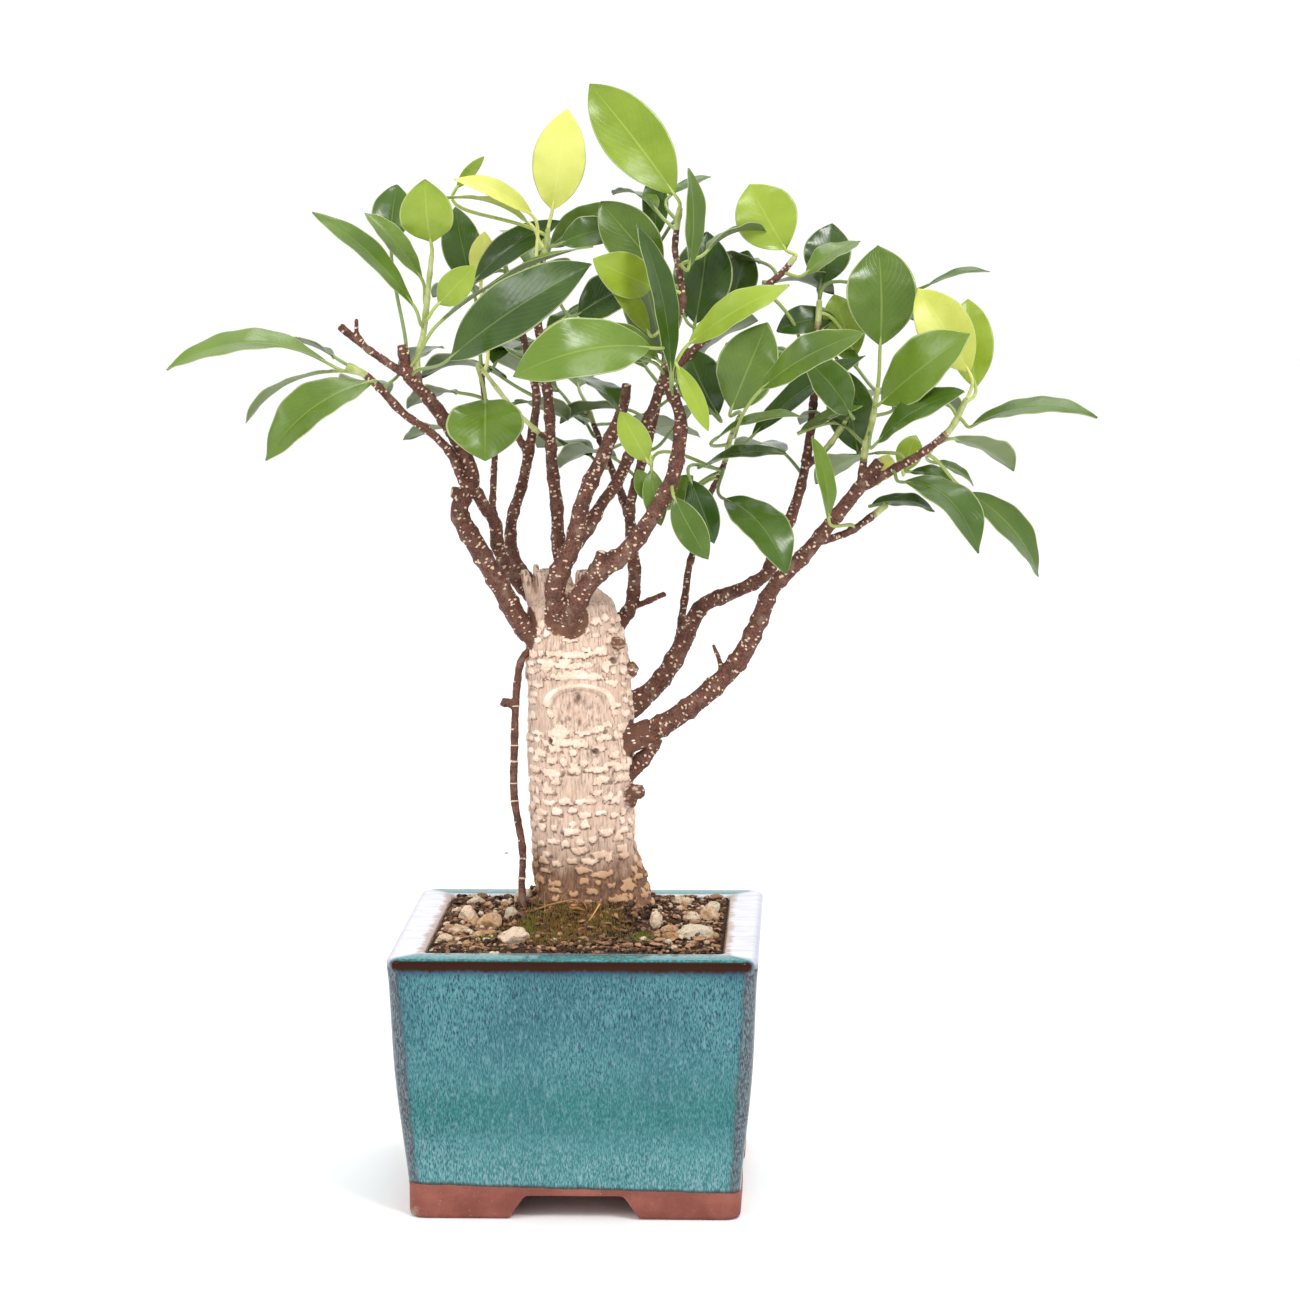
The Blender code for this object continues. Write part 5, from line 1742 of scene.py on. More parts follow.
class Age(Enum):
    """How old a leaf is, which sets its colour and its material slot."""

    DARK = "leaf_dark"
    MID = "leaf_mid"
    FRESH = "leaf_fresh"
    YOUNG = "leaf_young"

    @property
    def slot(self) -> str:
        """Return the part's slot, of which fresh leaves share one with the middle-aged."""
        return "leaf_mid" if self is Age.FRESH else self.value


@dataclass(frozen=True)
class LeafFinish:
    """A glossy leaf: pale rib and margin, fine side veins, and a lighter underside."""

    age: Age
    deep: Colour
    light: Colour
    rib: Colour
    under: Colour
    dull: float = 0.3
    margin: Colour = (0.4, 0.46, 0.2)

    def material(self) -> bpy.types.Material:
        """Mix the finish, which follows the blade's own map."""
        mix = Recipe(self.age.value, self.dull, 0.4)
        chart = mix.add("UVMap", {}, uv_map="UVMap").outputs[0]
        u, v, _ = mix.split(chart)
        off = mix.sum("ABSOLUTE", mix.minus(u, 0.5))
        here = mix.place()
        wide, fine = mix.grain(here, 45.0, 3.0), mix.grain(here, 700.0, 3.0)
        tone = mix.plus(mix.times(mix.minus(wide, 0.5), 0.9), mix.values("tone"))
        slant = mix.plus(mix.times(v, 13.0), mix.times(off, -11.0))
        wave = mix.sum("ABSOLUTE", mix.minus(mix.sum("FRACT", slant), 0.5))
        away = mix.times(mix.step(off, 0.02, 0.07), mix.step(off, 0.49, 0.4))
        vein = mix.times(mix.step(wave, 0.1, 0.02), away)
        under = mix.values("under")
        taper = mix.step(v, 0.0, 1.0, 0.028, 0.012)
        midrib = mix.step(mix.sum("DIVIDE", off, taper), 1.0, 0.3)
        margin = mix.step(off, 0.468, 0.484)
        stalk = mix.values("stalk")
        relief = mix.relief(mix.times(vein, -1.0), 0.015 * MM)
        relief = mix.relief(mix.grain(here, 110.0, 2.0), 0.3 * MM, relief)
        dull = mix.plus(mix.step(wide, 0.3, 0.7, self.dull - 0.05, self.dull + 0.08),
                        mix.times(under, 0.25))
        colour = mix.layer(
            mix.mix(mix.step(tone, 0.1, 0.9), self.deep, self.light),
            (mix.times(vein, 0.07), self.rib),
            (under, self.under),
            (mix.times(midrib, 0.38), self.rib),
            (mix.times(margin, 0.7), self.margin),
            (stalk, self.rib),
            (mix.step(fine, 0.6, 0.75, 0.0, 0.12), self.deep))
        return mix.serve(colour, relief, dull)


LEAF_FINISHES = (
    LeafFinish(Age.DARK, (0.02, 0.052, 0.004), (0.058, 0.115, 0.009), (0.2, 0.27, 0.08),
               (0.085, 0.12, 0.04), 0.22),
    LeafFinish(Age.MID, (0.05, 0.1, 0.007), (0.12, 0.2, 0.018), (0.28, 0.35, 0.09),
               (0.14, 0.19, 0.06), 0.24),
    LeafFinish(Age.FRESH, (0.15, 0.23, 0.014), (0.28, 0.38, 0.03), (0.42, 0.5, 0.13),
               (0.28, 0.37, 0.1), 0.27),
    LeafFinish(Age.YOUNG, (0.38, 0.42, 0.05), (0.62, 0.64, 0.15), (0.64, 0.66, 0.22),
               (0.42, 0.48, 0.12), 0.3),
)

UP: Place = (0.0, -0.35, 1.0)
FRONT: Place = (0.0, -1.0, 0.15)
SLANT: Place = (0.0, -0.85, 0.55)


@dataclass(frozen=True)
class Leaf:
    """A leaf held at a share of a limb's length, with its blade's two ends."""

    limb: str
    share: float
    base: Place
    tip: Place
    width: float
    face: Place = SLANT
    arch: float = 0.08
    age: Age = Age.DARK
    keel: float = 0.2
    twist: float = 0.0


# The part's own leaves: the node's name after "leaf_", then the leaf's fields
LEAVES = {name: Leaf(*fields) for name, *fields in (
    ("far_left", "left_side", 0.96, (-103, -6, 236), (-167, -20, 234), 23, UP, 0.17, Age.MID),
    ("left_thin", "left_side", 0.9, (-101, 5, 232), (-140, 12, 210), 15, (-0.1, 0.1, 1.0), 0.12, Age.MID),
    ("left_low", "left_side", 0.8, (-84, -13, 229), (-126, -30, 198), 24, (-0.35, -0.7, 0.6), 0.14,
     Age.MID),
    ("left_narrow", "left_green", 0.45, (-67, -5, 259), (-107, -15, 298), 14, (0.5, -0.6, 0.7), 0.08,
     Age.MID),
    ("left_inner", "left_green", 0.62, (-65, 6, 270), (-89, 13, 297), 13, (0.6, -0.6, 0.5), 0.08, Age.MID),
    ("left_yellow", "left_green", 1.0, (-60, -3, 285), (-61, -14, 311), 22, FRONT, 0.1, Age.FRESH),
    ("left_small", "left_green", 0.5, (-57, -8, 260), (-41, -16, 276), 13, FRONT, 0.06, Age.FRESH),
    ("left_edge", "left_outer", 0.93, (-56, -4, 253), (7, -12, 284), 18, (-0.35, -0.05, 1.0), 0.06,
     Age.MID),
    ("left_big", "left_outer", 0.9, (-52, -17, 238), (8, -38, 277), 27, (-0.1, -0.85, 0.5), 0.06),
    ("heart", "mid_back_green", 1.0, (-38, -6, 221), (-37, -22, 197), 32, (0.0, -0.9, 0.5), 0.1, Age.MID),
    ("pale_long", "mid_back", 0.95, (-20, 10, 292), (-58, -8, 302), 15, (0.1, 0.1, 1.0), 0.12, Age.YOUNG),
    ("bright_top", "mid_back", 1.0, (-11, 10, 298), (-4, 2, 339), 22, FRONT, 0.05, Age.YOUNG),
    ("front", "front_right", 0.97, (31, -42, 244), (-22, -64, 234), 28, SLANT, 0.14, Age.MID),
    ("centre_long", "front_right", 0.86, (39, -27, 232), (26, -30, 293), 15, (0.8, -0.65, 0.1), 0.06),
    ("bright_right", "front_right", 0.93, (46, -16, 244), (87, -24, 268), 17, (-0.2, -0.7, 0.7), 0.08,
     Age.FRESH),
    ("hanging", "front_right", 0.6, (40, -22, 182), (54, -26, 157), 13, FRONT, 0.08, Age.MID),
    ("top", "top_centre", 1.0, (40, -1, 304), (5, 6, 349), 26, (0.15, -1.0, 0.0), 0.04, Age.FRESH),
    ("top_folded", "top_centre", 0.6, (46, -13, 275), (46, -8, 315), 15, (0.85, -0.5, 0.0), 0.05, Age.MID),
    ("round", "top_centre", 0.42, (32, -14, 267), (8, -29, 279), 18, FRONT, 0.05, Age.FRESH),
    ("centre_dark", "top_right", 0.3, (47, 29, 250), (52, 36, 288), 25, FRONT, 0.06),
    ("upper_right", "top_right", 1.0, (85, 23, 281), (70, 26, 308), 26, FRONT, 0.05, Age.FRESH),
    ("upper_flat", "top_right", 0.9, (93, 20, 271), (116, 28, 284), 15, UP, 0.08, Age.MID),
    ("right_behind", "right_upper", 1.0, (99, 40, 266), (104, 47, 291), 20, FRONT, 0.06),
    ("right_inner", "right_fork", 1.0, (112, -2, 214), (92, -17, 239), 18, (0.35, -0.8, 0.3), 0.06),
    ("mid_right", "right_thin", 1.0, (63, -14, 217), (78, -22, 253), 25, (-0.2, -1.0, 0.1), 0.06, Age.MID),
    ("mid_light", "right_thin", 0.92, (76, -34, 227), (117, -48, 250), 18, (-0.2, -0.75, 0.65), 0.1,
     Age.MID),
    ("mid_long", "right_thin", 0.85, (71, 12, 204), (118, 5, 238), 15, (-0.2, -0.6, 0.8), 0.06),
    ("droop_mid", "right_thin", 0.75, (60, 2, 179), (86, -22, 151), 22, (0.4, -0.75, 0.5), 0.14),
    ("right_big", "right_rise", 1.0, (124, 6, 242), (123, 13, 283), 29, FRONT, 0.06, Age.MID),
    ("right_olive", "right_rise", 0.8, (124, -17, 220), (159, -34, 249), 25, (-0.2, -0.85, 0.5), 0.07,
     Age.MID),
    ("right_dark", "right_rise", 0.5, (122, -24, 204), (157, -42, 226), 18, (-0.2, -0.6, 0.8), 0.08),
    ("yellow_front", "right_tip", 1.0, (160, -13, 232), (139, -8, 266), 22, FRONT, 0.06, Age.YOUNG),
    ("yellow_back", "right_tip", 0.97, (163, -2, 225), (160, 8, 261), 19, FRONT, 0.06, Age.FRESH),
    ("far_right", "right_tip", 0.85, (161, -12, 210), (211, -24, 214), 18, UP, 0.13, Age.MID),
    ("droop_right", "right_tip", 0.25, (133, -20, 188), (163, -48, 162), 23, (0.35, -0.5, 0.8), 0.2),
    ("droop_far", "right_tip", 0.5, (160, 2, 182), (190, 10, 146), 19, (0.5, -0.6, 0.6), 0.12, Age.MID),
    ("back_low", "back_far", 0.85, (10, 92, 204), (38, 124, 190), 23, (0.1, 0.35, 1.0), 0.12),
    ("back_far", "back_far", 1.0, (-6, 96, 219), (-22, 135, 226), 24, (0.0, 0.3, 1.0), 0.12, Age.MID),
    ("back_left", "back_far", 0.92, (-14, 90, 218), (-58, 100, 244), 24, (0.0, 0.7, 0.7), 0.1),
    ("back_right", "back_main", 0.93, (42, 72, 228), (72, 104, 248), 25, (0.0, 0.7, 0.7), 0.1),
    ("back_top", "back_main", 1.0, (32, 68, 235), (20, 88, 280), 26, (0.1, 1.0, 0.2), 0.06),
)}

# Leaves that only the finished look has
MORE_LEAVES = {name: Leaf(*fields) for name, *fields in (
    ("behind_left", "left_outer", 0.95, (-79, 20, 284), (-77, 30, 308), 17, FRONT, 0.06),
    ("behind_left_tall", "left_thin", 1.0, (-46, 28, 266), (-53, 30, 299), 17, FRONT, 0.05),
    ("yellow_small", "left_thin", 0.95, (-42, 24, 268), (-40, 22, 289), 11, FRONT, 0.05, Age.YOUNG),
    ("thin_shoot", "mid_back", 0.98, (-50, 4, 307), (-38, 0, 320), 5, FRONT, 0.05, Age.FRESH),
    ("pale_folded", "mid_back", 0.9, (-19, 4, 296), (-50, -6, 311), 9, SLANT, 0.14, Age.YOUNG, 0.5),
    ("left_mid_dark", "back_left", 0.97, (-45, 22, 268), (-8, 16, 293), 14, SLANT, 0.08),
    ("inner_behind", "mid_back", 0.85, (-2, 22, 254), (24, 20, 268), 20, SLANT, 0.06),
    ("upper_middle", "back_left", 1.0, (-14, 33, 282), (13, 34, 300), 14, SLANT, 0.08, Age.MID),
    ("upper_dark", "mid_back", 0.95, (-8, 14, 284), (16, 18, 290), 15, SLANT, 0.08),
    ("behind_top", "top_centre", 0.9, (38, 16, 304), (54, 24, 311), 8, UP, 0.06),
    ("centre_olive", "top_centre", 0.45, (34, 6, 272), (9, 8, 301), 22, FRONT, 0.06, Age.MID),
    ("bright_narrow", "top_centre", 0.2, (30, -16, 248), (12, -22, 273), 9, SLANT, 0.06, Age.FRESH),
    ("grey_upright", "top_centre", 0.9, (31, 22, 286), (30, 26, 313), 11, FRONT, 0.04),
    ("notched_dark", "top_right", 0.4, (62, 38, 256), (69, 42, 280), 16, FRONT, 0.06),
    ("olive_strip", "top_right", 0.75, (86, 30, 238), (57, 28, 231), 12, SLANT, 0.07, Age.MID),
    ("inner_dark", "front_right", 0.9, (57, 14, 213), (44, 16, 241), 20, FRONT, 0.06),
    ("yellow_narrow", "front_right", 0.88, (41, -20, 236), (54, -22, 209), 8, FRONT, 0.06, Age.FRESH),
    ("small_folded", "front_right", 0.98, (34, -26, 238), (11, -32, 253), 9, SLANT, 0.1, Age.MID, 0.5),
    ("grey_dark", "front_right", 0.92, (28, -26, 238), (-2, -24, 231), 14, UP, 0.08),
    ("small_bright", "front_main", 0.9, (29, -14, 196), (18, -20, 217), 12, FRONT, 0.08, Age.FRESH),
    ("mid_flat", "right_thin", 0.8, (51, 2, 193), (86, -6, 198), 13, UP, 0.1),
    ("mid_flat_upper", "right_thin", 0.86, (56, 0, 204), (92, -10, 214), 11, UP, 0.1, Age.MID),
    ("pale_strip", "right_fork", 0.9, (91, 12, 206), (117, 12, 217), 11, UP, 0.06, Age.MID),
    ("olive_narrow", "right_level", 0.5, (103, -6, 171), (96, -8, 206), 10, (0.7, -0.7, 0.2), 0.1, Age.MID),
    ("far_thin", "right_upper", 1.0, (143, 16, 266), (169, 12, 272), 8, UP, 0.1),
    ("right_dark_behind", "right_upper", 0.9, (115, 24, 197), (109, 26, 231), 20, FRONT, 0.06),
    ("right_grey", "right_upper", 0.97, (114, 32, 236), (105, 34, 262), 17, FRONT, 0.06, Age.FRESH),
    ("right_upper_dark", "right_upper", 0.98, (105, 32, 252), (81, 28, 247), 14, SLANT, 0.08),
    ("low_dark", "right_level", 1.0, (120, 14, 175), (147, 12, 173), 13, UP, 0.12),
    ("low_small", "right_tip", 0.4, (136, 6, 190), (157, 4, 183), 11, UP, 0.12, Age.MID),
    ("low_pale", "right_tip", 0.55, (147, 14, 193), (163, 17, 183), 10, UP, 0.12, Age.MID),
    ("small_upright", "right_tip", 0.3, (134, 6, 190), (139, 8, 205), 11, FRONT, 0.08, Age.FRESH),
    ("tiny_upright", "right_rise", 0.1, (124, 6, 186), (128, 8, 197), 9, FRONT, 0.08, Age.YOUNG),
    ("cluster_left", "right_thin", 0.7, (31, 0, 178), (24, -4, 192), 9, FRONT, 0.08, Age.MID),
    ("cluster_right", "right_thin", 0.72, (36, 4, 177), (47, 0, 189), 10, FRONT, 0.08, Age.MID),
    ("cluster_low", "right_thin", 0.73, (30, -4, 192), (34, -8, 169), 10, FRONT, 0.08, Age.MID),
    ("cluster_hanging", "right_thin", 0.74, (46, -6, 188), (56, -12, 162), 13, FRONT, 0.1),
)}


@dataclass(frozen=True)
class Spray:
    """Leaves set in turn along a shoot, as they grow behind and inside the crown."""

    name: str
    limb: str
    shares: tuple[float, ...]
    way: Place
    length: float
    width: float
    age: Age = Age.DARK


SPRAYS = (
    Spray("back_twig", "back_far", (0.5, 0.64, 0.76), (0.3, 1.0, 0.2), 40, 21),
    Spray("back_stem", "back_main", (0.62, 0.72, 0.82, 0.97), (-0.1, 1.0, 0.5), 40, 22),
    Spray("left_back", "left_thin", (0.5, 0.65, 0.8, 0.93), (-0.5, 1.0, 0.4), 38, 20),
    Spray("left_stem", "back_left", (0.62, 0.74, 0.86, 0.95), (-0.3, 1.0, 0.5), 40, 21),
    Spray("middle_stem", "mid_back", (0.6, 0.72, 0.84), (0.4, 1.0, 0.5), 38, 20, Age.MID),
    Spray("top_stem", "top_centre", (0.3, 0.6, 0.85), (0.0, 1.0, 0.5), 34, 18, Age.MID),
    Spray("fork_stem", "front_fork", (0.7, 0.85, 0.97), (0.2, 1.0, 0.4), 36, 19),
    Spray("top_right_stem", "top_right", (0.35, 0.6, 0.85), (0.2, 1.0, 0.4), 36, 19),
    Spray("right_back_stem", "right_upper", (0.66, 0.75, 0.84, 0.93), (0.1, 1.0, 0.4), 42, 22),
    Spray("right_rise_back", "right_rise", (0.4, 0.7, 0.95), (0.1, 1.0, 0.4), 38, 20),
    Spray("right_tip_back", "right_tip", (0.35, 0.6, 0.85), (0.2, 1.0, 0.3), 36, 18, Age.MID),
    Spray("left_tip_back", "left_side", (0.55, 0.75, 0.93), (-0.2, 1.0, 0.4), 36, 18),
)


@dataclass
class Foliage:
    """All leaves, each bent from one master blade and held by its own round stalk."""

    columns: int = 14
    rows: int = 34
    thickness: float = 0.34 * MM
    stalk_radius: float = 0.72 * MM
    stalk_sides: int = 8
    stalk_rings: int = 12
    grow_in: float = 0.12

    def __post_init__(self) -> None:
        """Make the master blade and the finishes."""
        self.finishes = {finish.age: finish.material() for finish in LEAF_FINISHES}
        bpy.ops.mesh.primitive_grid_add(x_subdivisions=self.columns, y_subdivisions=self.rows, size=1.0)
        master = newest("master_blade")
        wall = master.modifiers.new("wall", "SOLIDIFY")
        wall.thickness, wall.offset = 0.01, 0.0
        apply_all(master)
        points = points_of(master)
        self.across = np.sin(points[:, 0] * math.pi) * 0.55 + points[:, 0] * 0.9
        self.along = points[:, 1] + 0.5
        self.layer = np.sign(points[:, 2])
        self.faces = [tuple(p.vertices) for p in master.data.polygons]
        remove(master)

    @staticmethod
    def outline(share: np.ndarray) -> np.ndarray:
        """Return a blade's half width along its length, as a share of the widest."""
        body = np.maximum(1.0 - np.abs(2.0 * share - 1.0) ** 2.1, 0.0) ** 0.9
        drip = 0.1 * np.clip((1.02 - share) / 0.1, 0.0, 1.0) * (share > 0.5)
        return np.maximum(body, np.maximum(drip * 0.9, 0.02))

    def stalk(self, leaf: Leaf, base: Vector, axis: Vector) -> list[Vector]:
        """Draw the stalk's middle line from inside the wood to the blade's foot.

        Args:
            leaf: The leaf.
            base: The blade's foot.
            axis: The way the blade starts.

        Returns:
            The line's points, without the blade's foot.
        """
        limb = LIMBS[leaf.limb]
        line = limb_line(limb, 1.0 * MM)
        index = min(range(len(line)), key=lambda k: abs(line[k][1] - leaf.share))
        spot, way = line[index][0], (line[index][0] - line[index - 1][0]).normalized()
        reach = base - spot
        if leaf.share < 0.995:
            way = (reach - way * reach.dot(way)).normalized() + way * 0.5
        pull = reach.length * 0.4
        first, second = spot + way.normalized() * pull, base - axis * pull
        count = self.stalk_rings
        return [spot * (1 - t) ** 3 + first * 3 * t * (1 - t) ** 2 + second * 3 * t * t * (1 - t)
                + base * t ** 3 for t in (k / count for k in range(count))]

    def bend(self, name: str, leaf: Leaf) -> Item:
        """Bend the master blade and join its stalk.

        Args:
            name: The leaf's name.
            leaf: Where and how it lies.

        Returns:
            The leaf as one object, without its finish.
        """
        dice = random.Random(f"{SEED} {name}")
        base, tip = on_plant(leaf.base), on_plant(leaf.tip)
        axis = (tip - base).normalized()
        face = Vector(leaf.face)
        normal = (face - axis * face.dot(axis)).normalized()
        length, half = (tip - base).length, leaf.width * MM / 2
        rise = normal * length * leaf.arch
        shares = [k / self.rows for k in range(self.rows + 1)]
        swing = axis.cross(normal) * length * dice.uniform(-0.03, 0.03)
        centres = [base.lerp(tip, s) + (rise + swing) * 4 * s * (1 - s) for s in shares]
        start = (centres[1] - centres[0]).normalized()
        line = self.stalk(leaf, base, start) + centres
        ways = [(line[min(k + 1, len(line) - 1)] - line[max(k - 1, 0)]).normalized()
                for k in range(len(line))]
        middle = self.stalk_rings + self.rows // 2
        normals = {middle: (normal - ways[middle] * normal.dot(ways[middle])).normalized()}
        for k in [*range(middle - 1, -1, -1), *range(middle + 1, len(line))]:
            near = k + 1 if k < middle else k - 1
            normals[k] = (ways[near].rotation_difference(ways[k]) @ normals[near]).normalized()

        rows = np.rint(self.along * self.rows).astype(int)
        turn = leaf.twist + dice.uniform(-0.12, 0.12)
        spine, side, top = [], [], []
        for k in range(self.rows + 1):
            way, up = ways[self.stalk_rings + k], normals[self.stalk_rings + k]
            up = Matrix.Rotation(turn * (shares[k] - 0.5) * 2.0, 3, way) @ up
            spine.append(centres[k])
            side.append(way.cross(up).normalized())
            top.append(up)
        spine, side, top = (np.array(v)[rows] for v in (spine, side, top))
        width = half * self.outline(self.along)
        x = self.across * width
        wave = np.sin(self.along * math.tau * dice.uniform(1.1, 2.0) + dice.uniform(0, 6.0))
        ripple = np.sin(self.along * math.tau * dice.uniform(3.0, 5.0) + self.across * 1.5)
        keel = leaf.keel * (np.sqrt(x * x + (1.2 * MM) ** 2) - 1.2 * MM)
        curl = self.across ** 2 * half * (0.07 * wave + 0.025 * ripple)
        rim = np.exp(-((np.abs(self.across) - 1.0) / 0.1) ** 2)
        wall = self.thickness / 2 * (1.0 - 0.45 * rim)
        groove = np.exp(-(x / (0.55 * MM)) ** 2) * (1.0 - 0.8 * self.along)
        sink = np.where(self.layer > 0, -0.16 * MM, -0.42 * MM) * groove
        height = keel + curl + self.layer * wall + sink
        points = spine + side * x[:, None] + top * height[:, None]
        return self.assemble(name, points, line, normals, ways, dice)

    def assemble(self, name: str, blade: np.ndarray, line: list[Vector],
                 normals: dict[int, Vector], ways: list[Vector],
                 dice: random.Random) -> Item:
        """Join a bent blade and its stalk in one mesh, with the numbers the finish reads.

        Args:
            name: The leaf's name.
            blade: The blade's points.
            line: The middle line of stalk and blade.
            normals: The upward way at each of the line's points.
            ways: The forward way at each of them.
            dice: Where the leaf's tone comes from.

        Returns:
            The leaf.
        """
        run = self.stalk_rings + 1 + int(self.rows * self.grow_in)
        points = [Vector(p) for p in blade]
        faces = list(self.faces)
        first = len(points)
        for k in range(run):
            share = k / (run - 1)
            radius = self.stalk_radius * (1.12 - 0.2 * share) * (1 - 0.7 * max(share - 0.8, 0) * 5)
            across = ways[k].cross(normals[k])
            sunk = -0.3 * MM * max(share - 0.75, 0.0) * 4
            for j in range(self.stalk_sides):
                angle = math.tau * j / self.stalk_sides
                points.append(line[k] + across * math.cos(angle) * radius
                              + normals[k] * (math.sin(angle) * radius + sunk))
        for k in range(run - 1):
            for j in range(self.stalk_sides):
                a, b = first + k * self.stalk_sides, first + (k + 1) * self.stalk_sides
                n = (j + 1) % self.stalk_sides
                faces.append((a + j, b + j, b + n, a + n))
        last = first + (run - 1) * self.stalk_sides
        faces.append(tuple(range(first, first + self.stalk_sides)))
        faces.append(tuple(reversed(range(last, last + self.stalk_sides))))
        item = new_mesh(name, points, faces)
        sides = self.stalk_sides * run
        chart = np.concatenate([np.stack([0.5 + 0.5 * self.across, self.along], 1),
                                np.tile((0.5, 0.0), (sides, 1))])
        corners = np.zeros(len(item.data.loops), np.int32)
        item.data.loops.foreach_get("vertex_index", corners)
        item.data.uv_layers.new(name="UVMap").data.foreach_set(
            "uv", chart[corners].astype(np.float32).ravel())
        below = np.where(self.layer < 0, 1.0, 0.0)
        add_values(item, "under", np.concatenate([below, np.zeros(sides)]))
        add_values(item, "stalk", np.concatenate([np.zeros(len(blade)), np.ones(sides)]))
        add_values(item, "tone", np.full(len(blade) + sides, dice.uniform(0.25, 0.75)))
        return item

    def sprayed(self, spray: Spray) -> Iterable[tuple[str, Leaf]]:
        """Set a spray's leaves in turn round its shoot.

        Args:
            spray: The spray.

        Yields:
            Each leaf's name and the leaf.
        """
        dice = random.Random(f"{SEED} {spray.name}")
        line = limb_line(LIMBS[spray.limb], 1.0 * MM)
        origin = on_plant((0.0, 0.0, 0.0))
        for index, share in enumerate(spray.shares):
            place = min(line, key=lambda entry: abs(entry[1] - share))[0]
            spot = (place - origin) / MM
            lean = 0.9 if index % 2 else -0.9
            way = (Vector(spray.way).normalized() + Vector((lean, 0, 0))
                   + Vector([dice.uniform(-0.25, 0.25) for _ in range(3)])).normalized()
            stalk = dice.uniform(11.0, 16.0)
            size = dice.uniform(0.8, 1.1)
            base = spot + way * stalk + Vector((0, 0, dice.uniform(1.0, 4.0)))
            droop = Vector((0, 0, dice.uniform(-0.55, 0.1)))
            tip = base + (way + droop).normalized() * spray.length * size
            face = Vector((0.0, 0.25, 1.0)) + way * 0.3
            yield f"{spray.name}_{index + 1}", Leaf(
                spray.limb, share, tuple(base), tuple(tip), spray.width * size,
                tuple(face), dice.uniform(0.06, 0.14), spray.age,
                dice.uniform(0.12, 0.3), dice.uniform(-0.3, 0.3))

    def build(self) -> None:
        """Make every leaf."""
        more = [*MORE_LEAVES.items(), *(pair for s in SPRAYS for pair in self.sprayed(s))]
        for name, leaf in [*LEAVES.items(), *more]:
            nodes = [f"leaf_{name}"] if name in LEAVES else []
            finish_piece(self.bend(f"{name}_leaf", leaf), self.finishes[leaf.age], leaf.age.slot, nodes)


# ------------------------------------------------------------------------------ studio


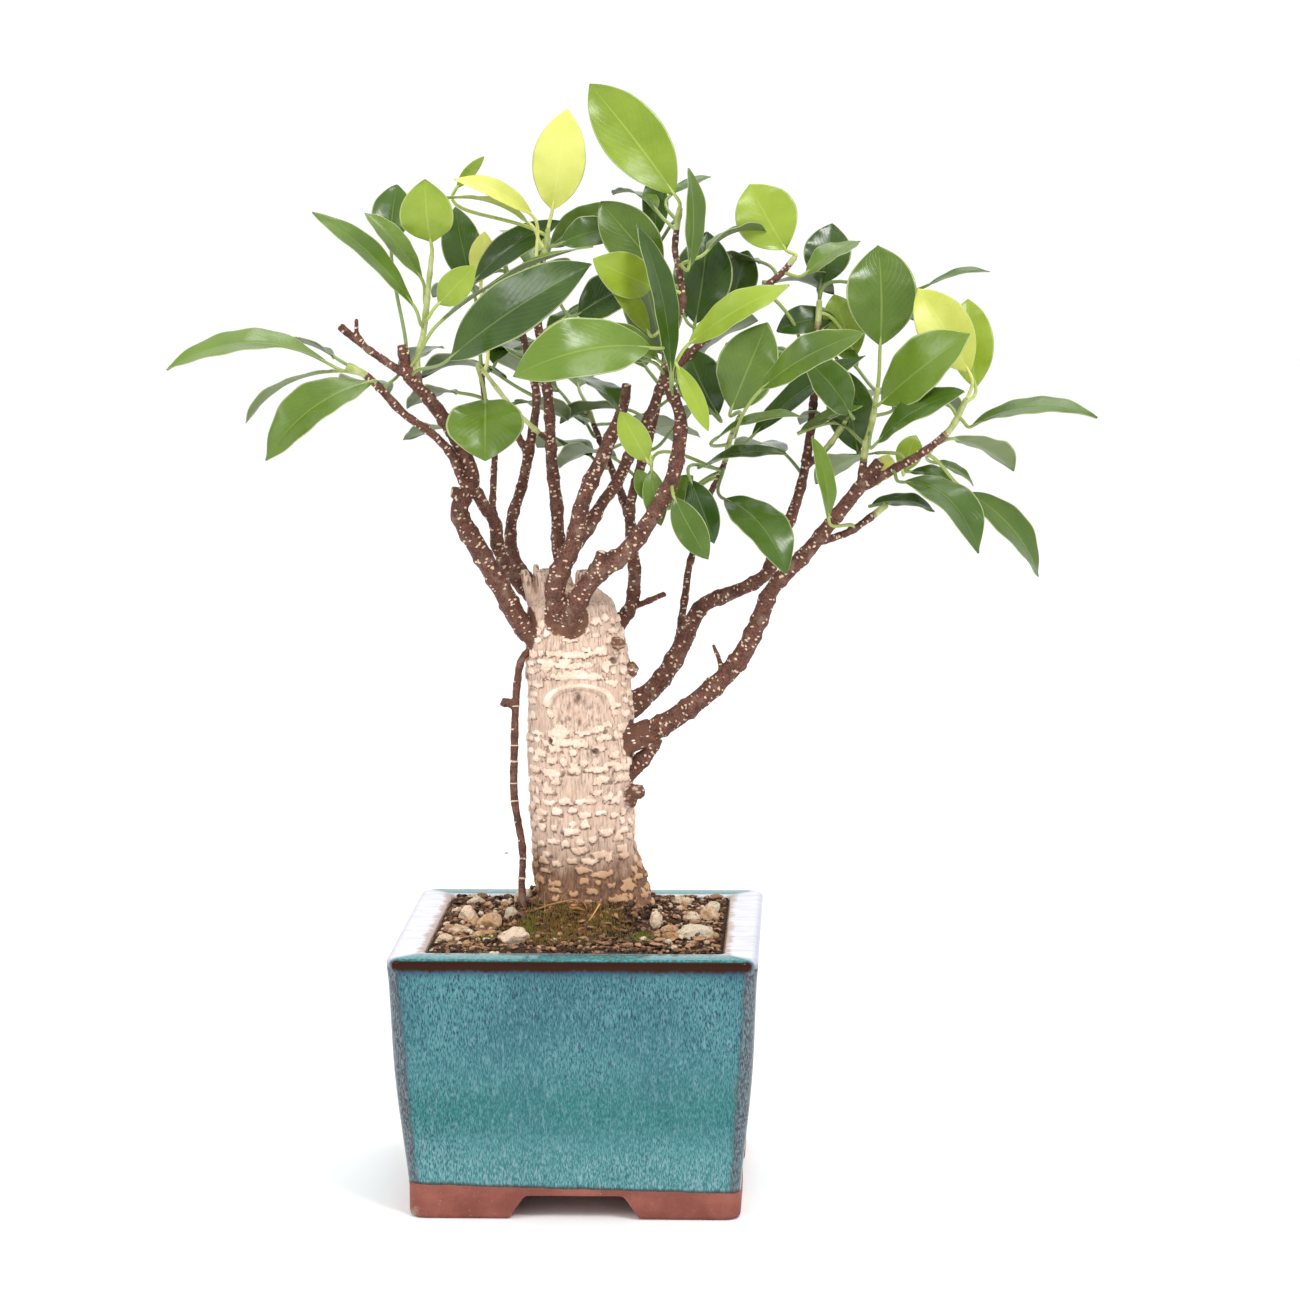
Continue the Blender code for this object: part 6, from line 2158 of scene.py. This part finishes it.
@dataclass
class Studio:
    """A pale floor, soft white light all round, and the camera."""

    lens: float = 107.7
    sensor: float = 36.0
    eye: Place = (100.5, -1598.7, 329.1)
    target: Place = (28.9, 0.0, 116.4)
    roll: float = math.radians(-0.27)
    floor_half: float = 6.0
    sky: float = 1.05
    floor_white: Colour = (0.985, 0.985, 0.985)
    aim: Place = (0.0, 0.0, 0.22)
    lamps: tuple[tuple[str, Place, float, float], ...] = (
        ("key", (0.8, -1.2, 1.7), 0.5, 20.0), ("fill", (-1.3, -1.1, 1.1), 0.6, 8.0),
        ("top", (0.1, 0.4, 1.8), 0.8, 9.0))

    def floor(self) -> Item:
        """Lay the floor."""
        bpy.ops.mesh.primitive_plane_add(size=2 * self.floor_half, location=(0, 0, 0))
        item = newest("floor")
        mix = Recipe("studio_floor", 0.6, 0.2)
        here = mix.place()
        speck = mix.grain(here, 300.0, 2.0)
        shade = tuple(c * 0.985 for c in self.floor_white)
        item.data.materials.append(mix.serve(mix.mix(speck, shade, self.floor_white)))
        return item

    def light(self, name: str, place: Place, size: float, power: float) -> None:
        """Hang a square soft light that faces the plant.

        Args:
            name: Its name.
            place: Where it hangs, in metres.
            size: Its side.
            power: Its power in watts.
        """
        lamp = bpy.data.lights.new(name, "AREA")
        lamp.shape, lamp.size, lamp.energy = "SQUARE", size, power
        item = bpy.data.objects.new(name, lamp)
        bpy.context.scene.collection.objects.link(item)
        item.location = place
        aim = Vector(self.aim) - Vector(place)
        item.rotation_euler = aim.to_track_quat("-Z", "Y").to_euler()

    def camera(self) -> None:
        """Stand the camera in its place, with its slight roll."""
        data = bpy.data.cameras.new("camera")
        data.lens, data.sensor_width = self.lens, self.sensor
        item = bpy.data.objects.new("camera", data)
        bpy.context.scene.collection.objects.link(item)
        eye, target = on_plant(self.eye), on_plant(self.target)
        back = (eye - target).normalized()
        right = Vector((0, 0, 1)).cross(back).normalized()
        up = back.cross(right)
        turned = right * math.cos(self.roll) + up * math.sin(self.roll)
        raised = up * math.cos(self.roll) - right * math.sin(self.roll)
        item.matrix_world = Matrix.Translation(eye) @ Matrix((turned, raised, back)).transposed().to_4x4()
        bpy.context.scene.camera = item

    def build(self) -> None:
        """Set up floor, light and camera."""
        self.floor()
        world = bpy.data.worlds.new("studio")
        world.use_nodes = True
        sky = world.node_tree.nodes["Background"]
        sky.inputs["Color"].default_value = (1.0, 1.0, 1.0, 1.0)
        sky.inputs["Strength"].default_value = self.sky
        bpy.context.scene.world = world
        for lamp in self.lamps:
            self.light(*lamp)
        self.camera()
        bpy.context.scene.view_settings.view_transform = "Standard"


def dress_cad_nodes() -> None:
    """Give the part's own nodes that stay in view their finish."""
    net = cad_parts["drain_mesh"]
    net.data.materials.clear()
    net.data.materials.append(NetFinish().material())
    LOG.info("drain_mesh: kept with a new finish")


def main() -> None:
    """Build every sub-assembly in order and report each piece."""
    logging.basicConfig(level=logging.INFO, format="%(message)s")
    dress_cad_nodes()
    Pot().build()
    Soil().build()
    Trunk().build()
    bark = TwigFinish().material()
    for name, limb_names in BRANCHES.items():
        limbs = tuple(LIMBS[n] for n in limb_names)
        if name == "branch_right_lower":
            limbs += (DEAD_TWIG,)
        Branch(f"{name}_wood", name, limbs, bark).build()
    AerialRoot("hanging_root", "aerial_root", (ROOT_LINE, ROOT_KNOT), bark,
               dot_height=0.15, knot=0.1).build()
    Foliage().build()
    Studio().build()


if __name__ == "__main__":
    main()
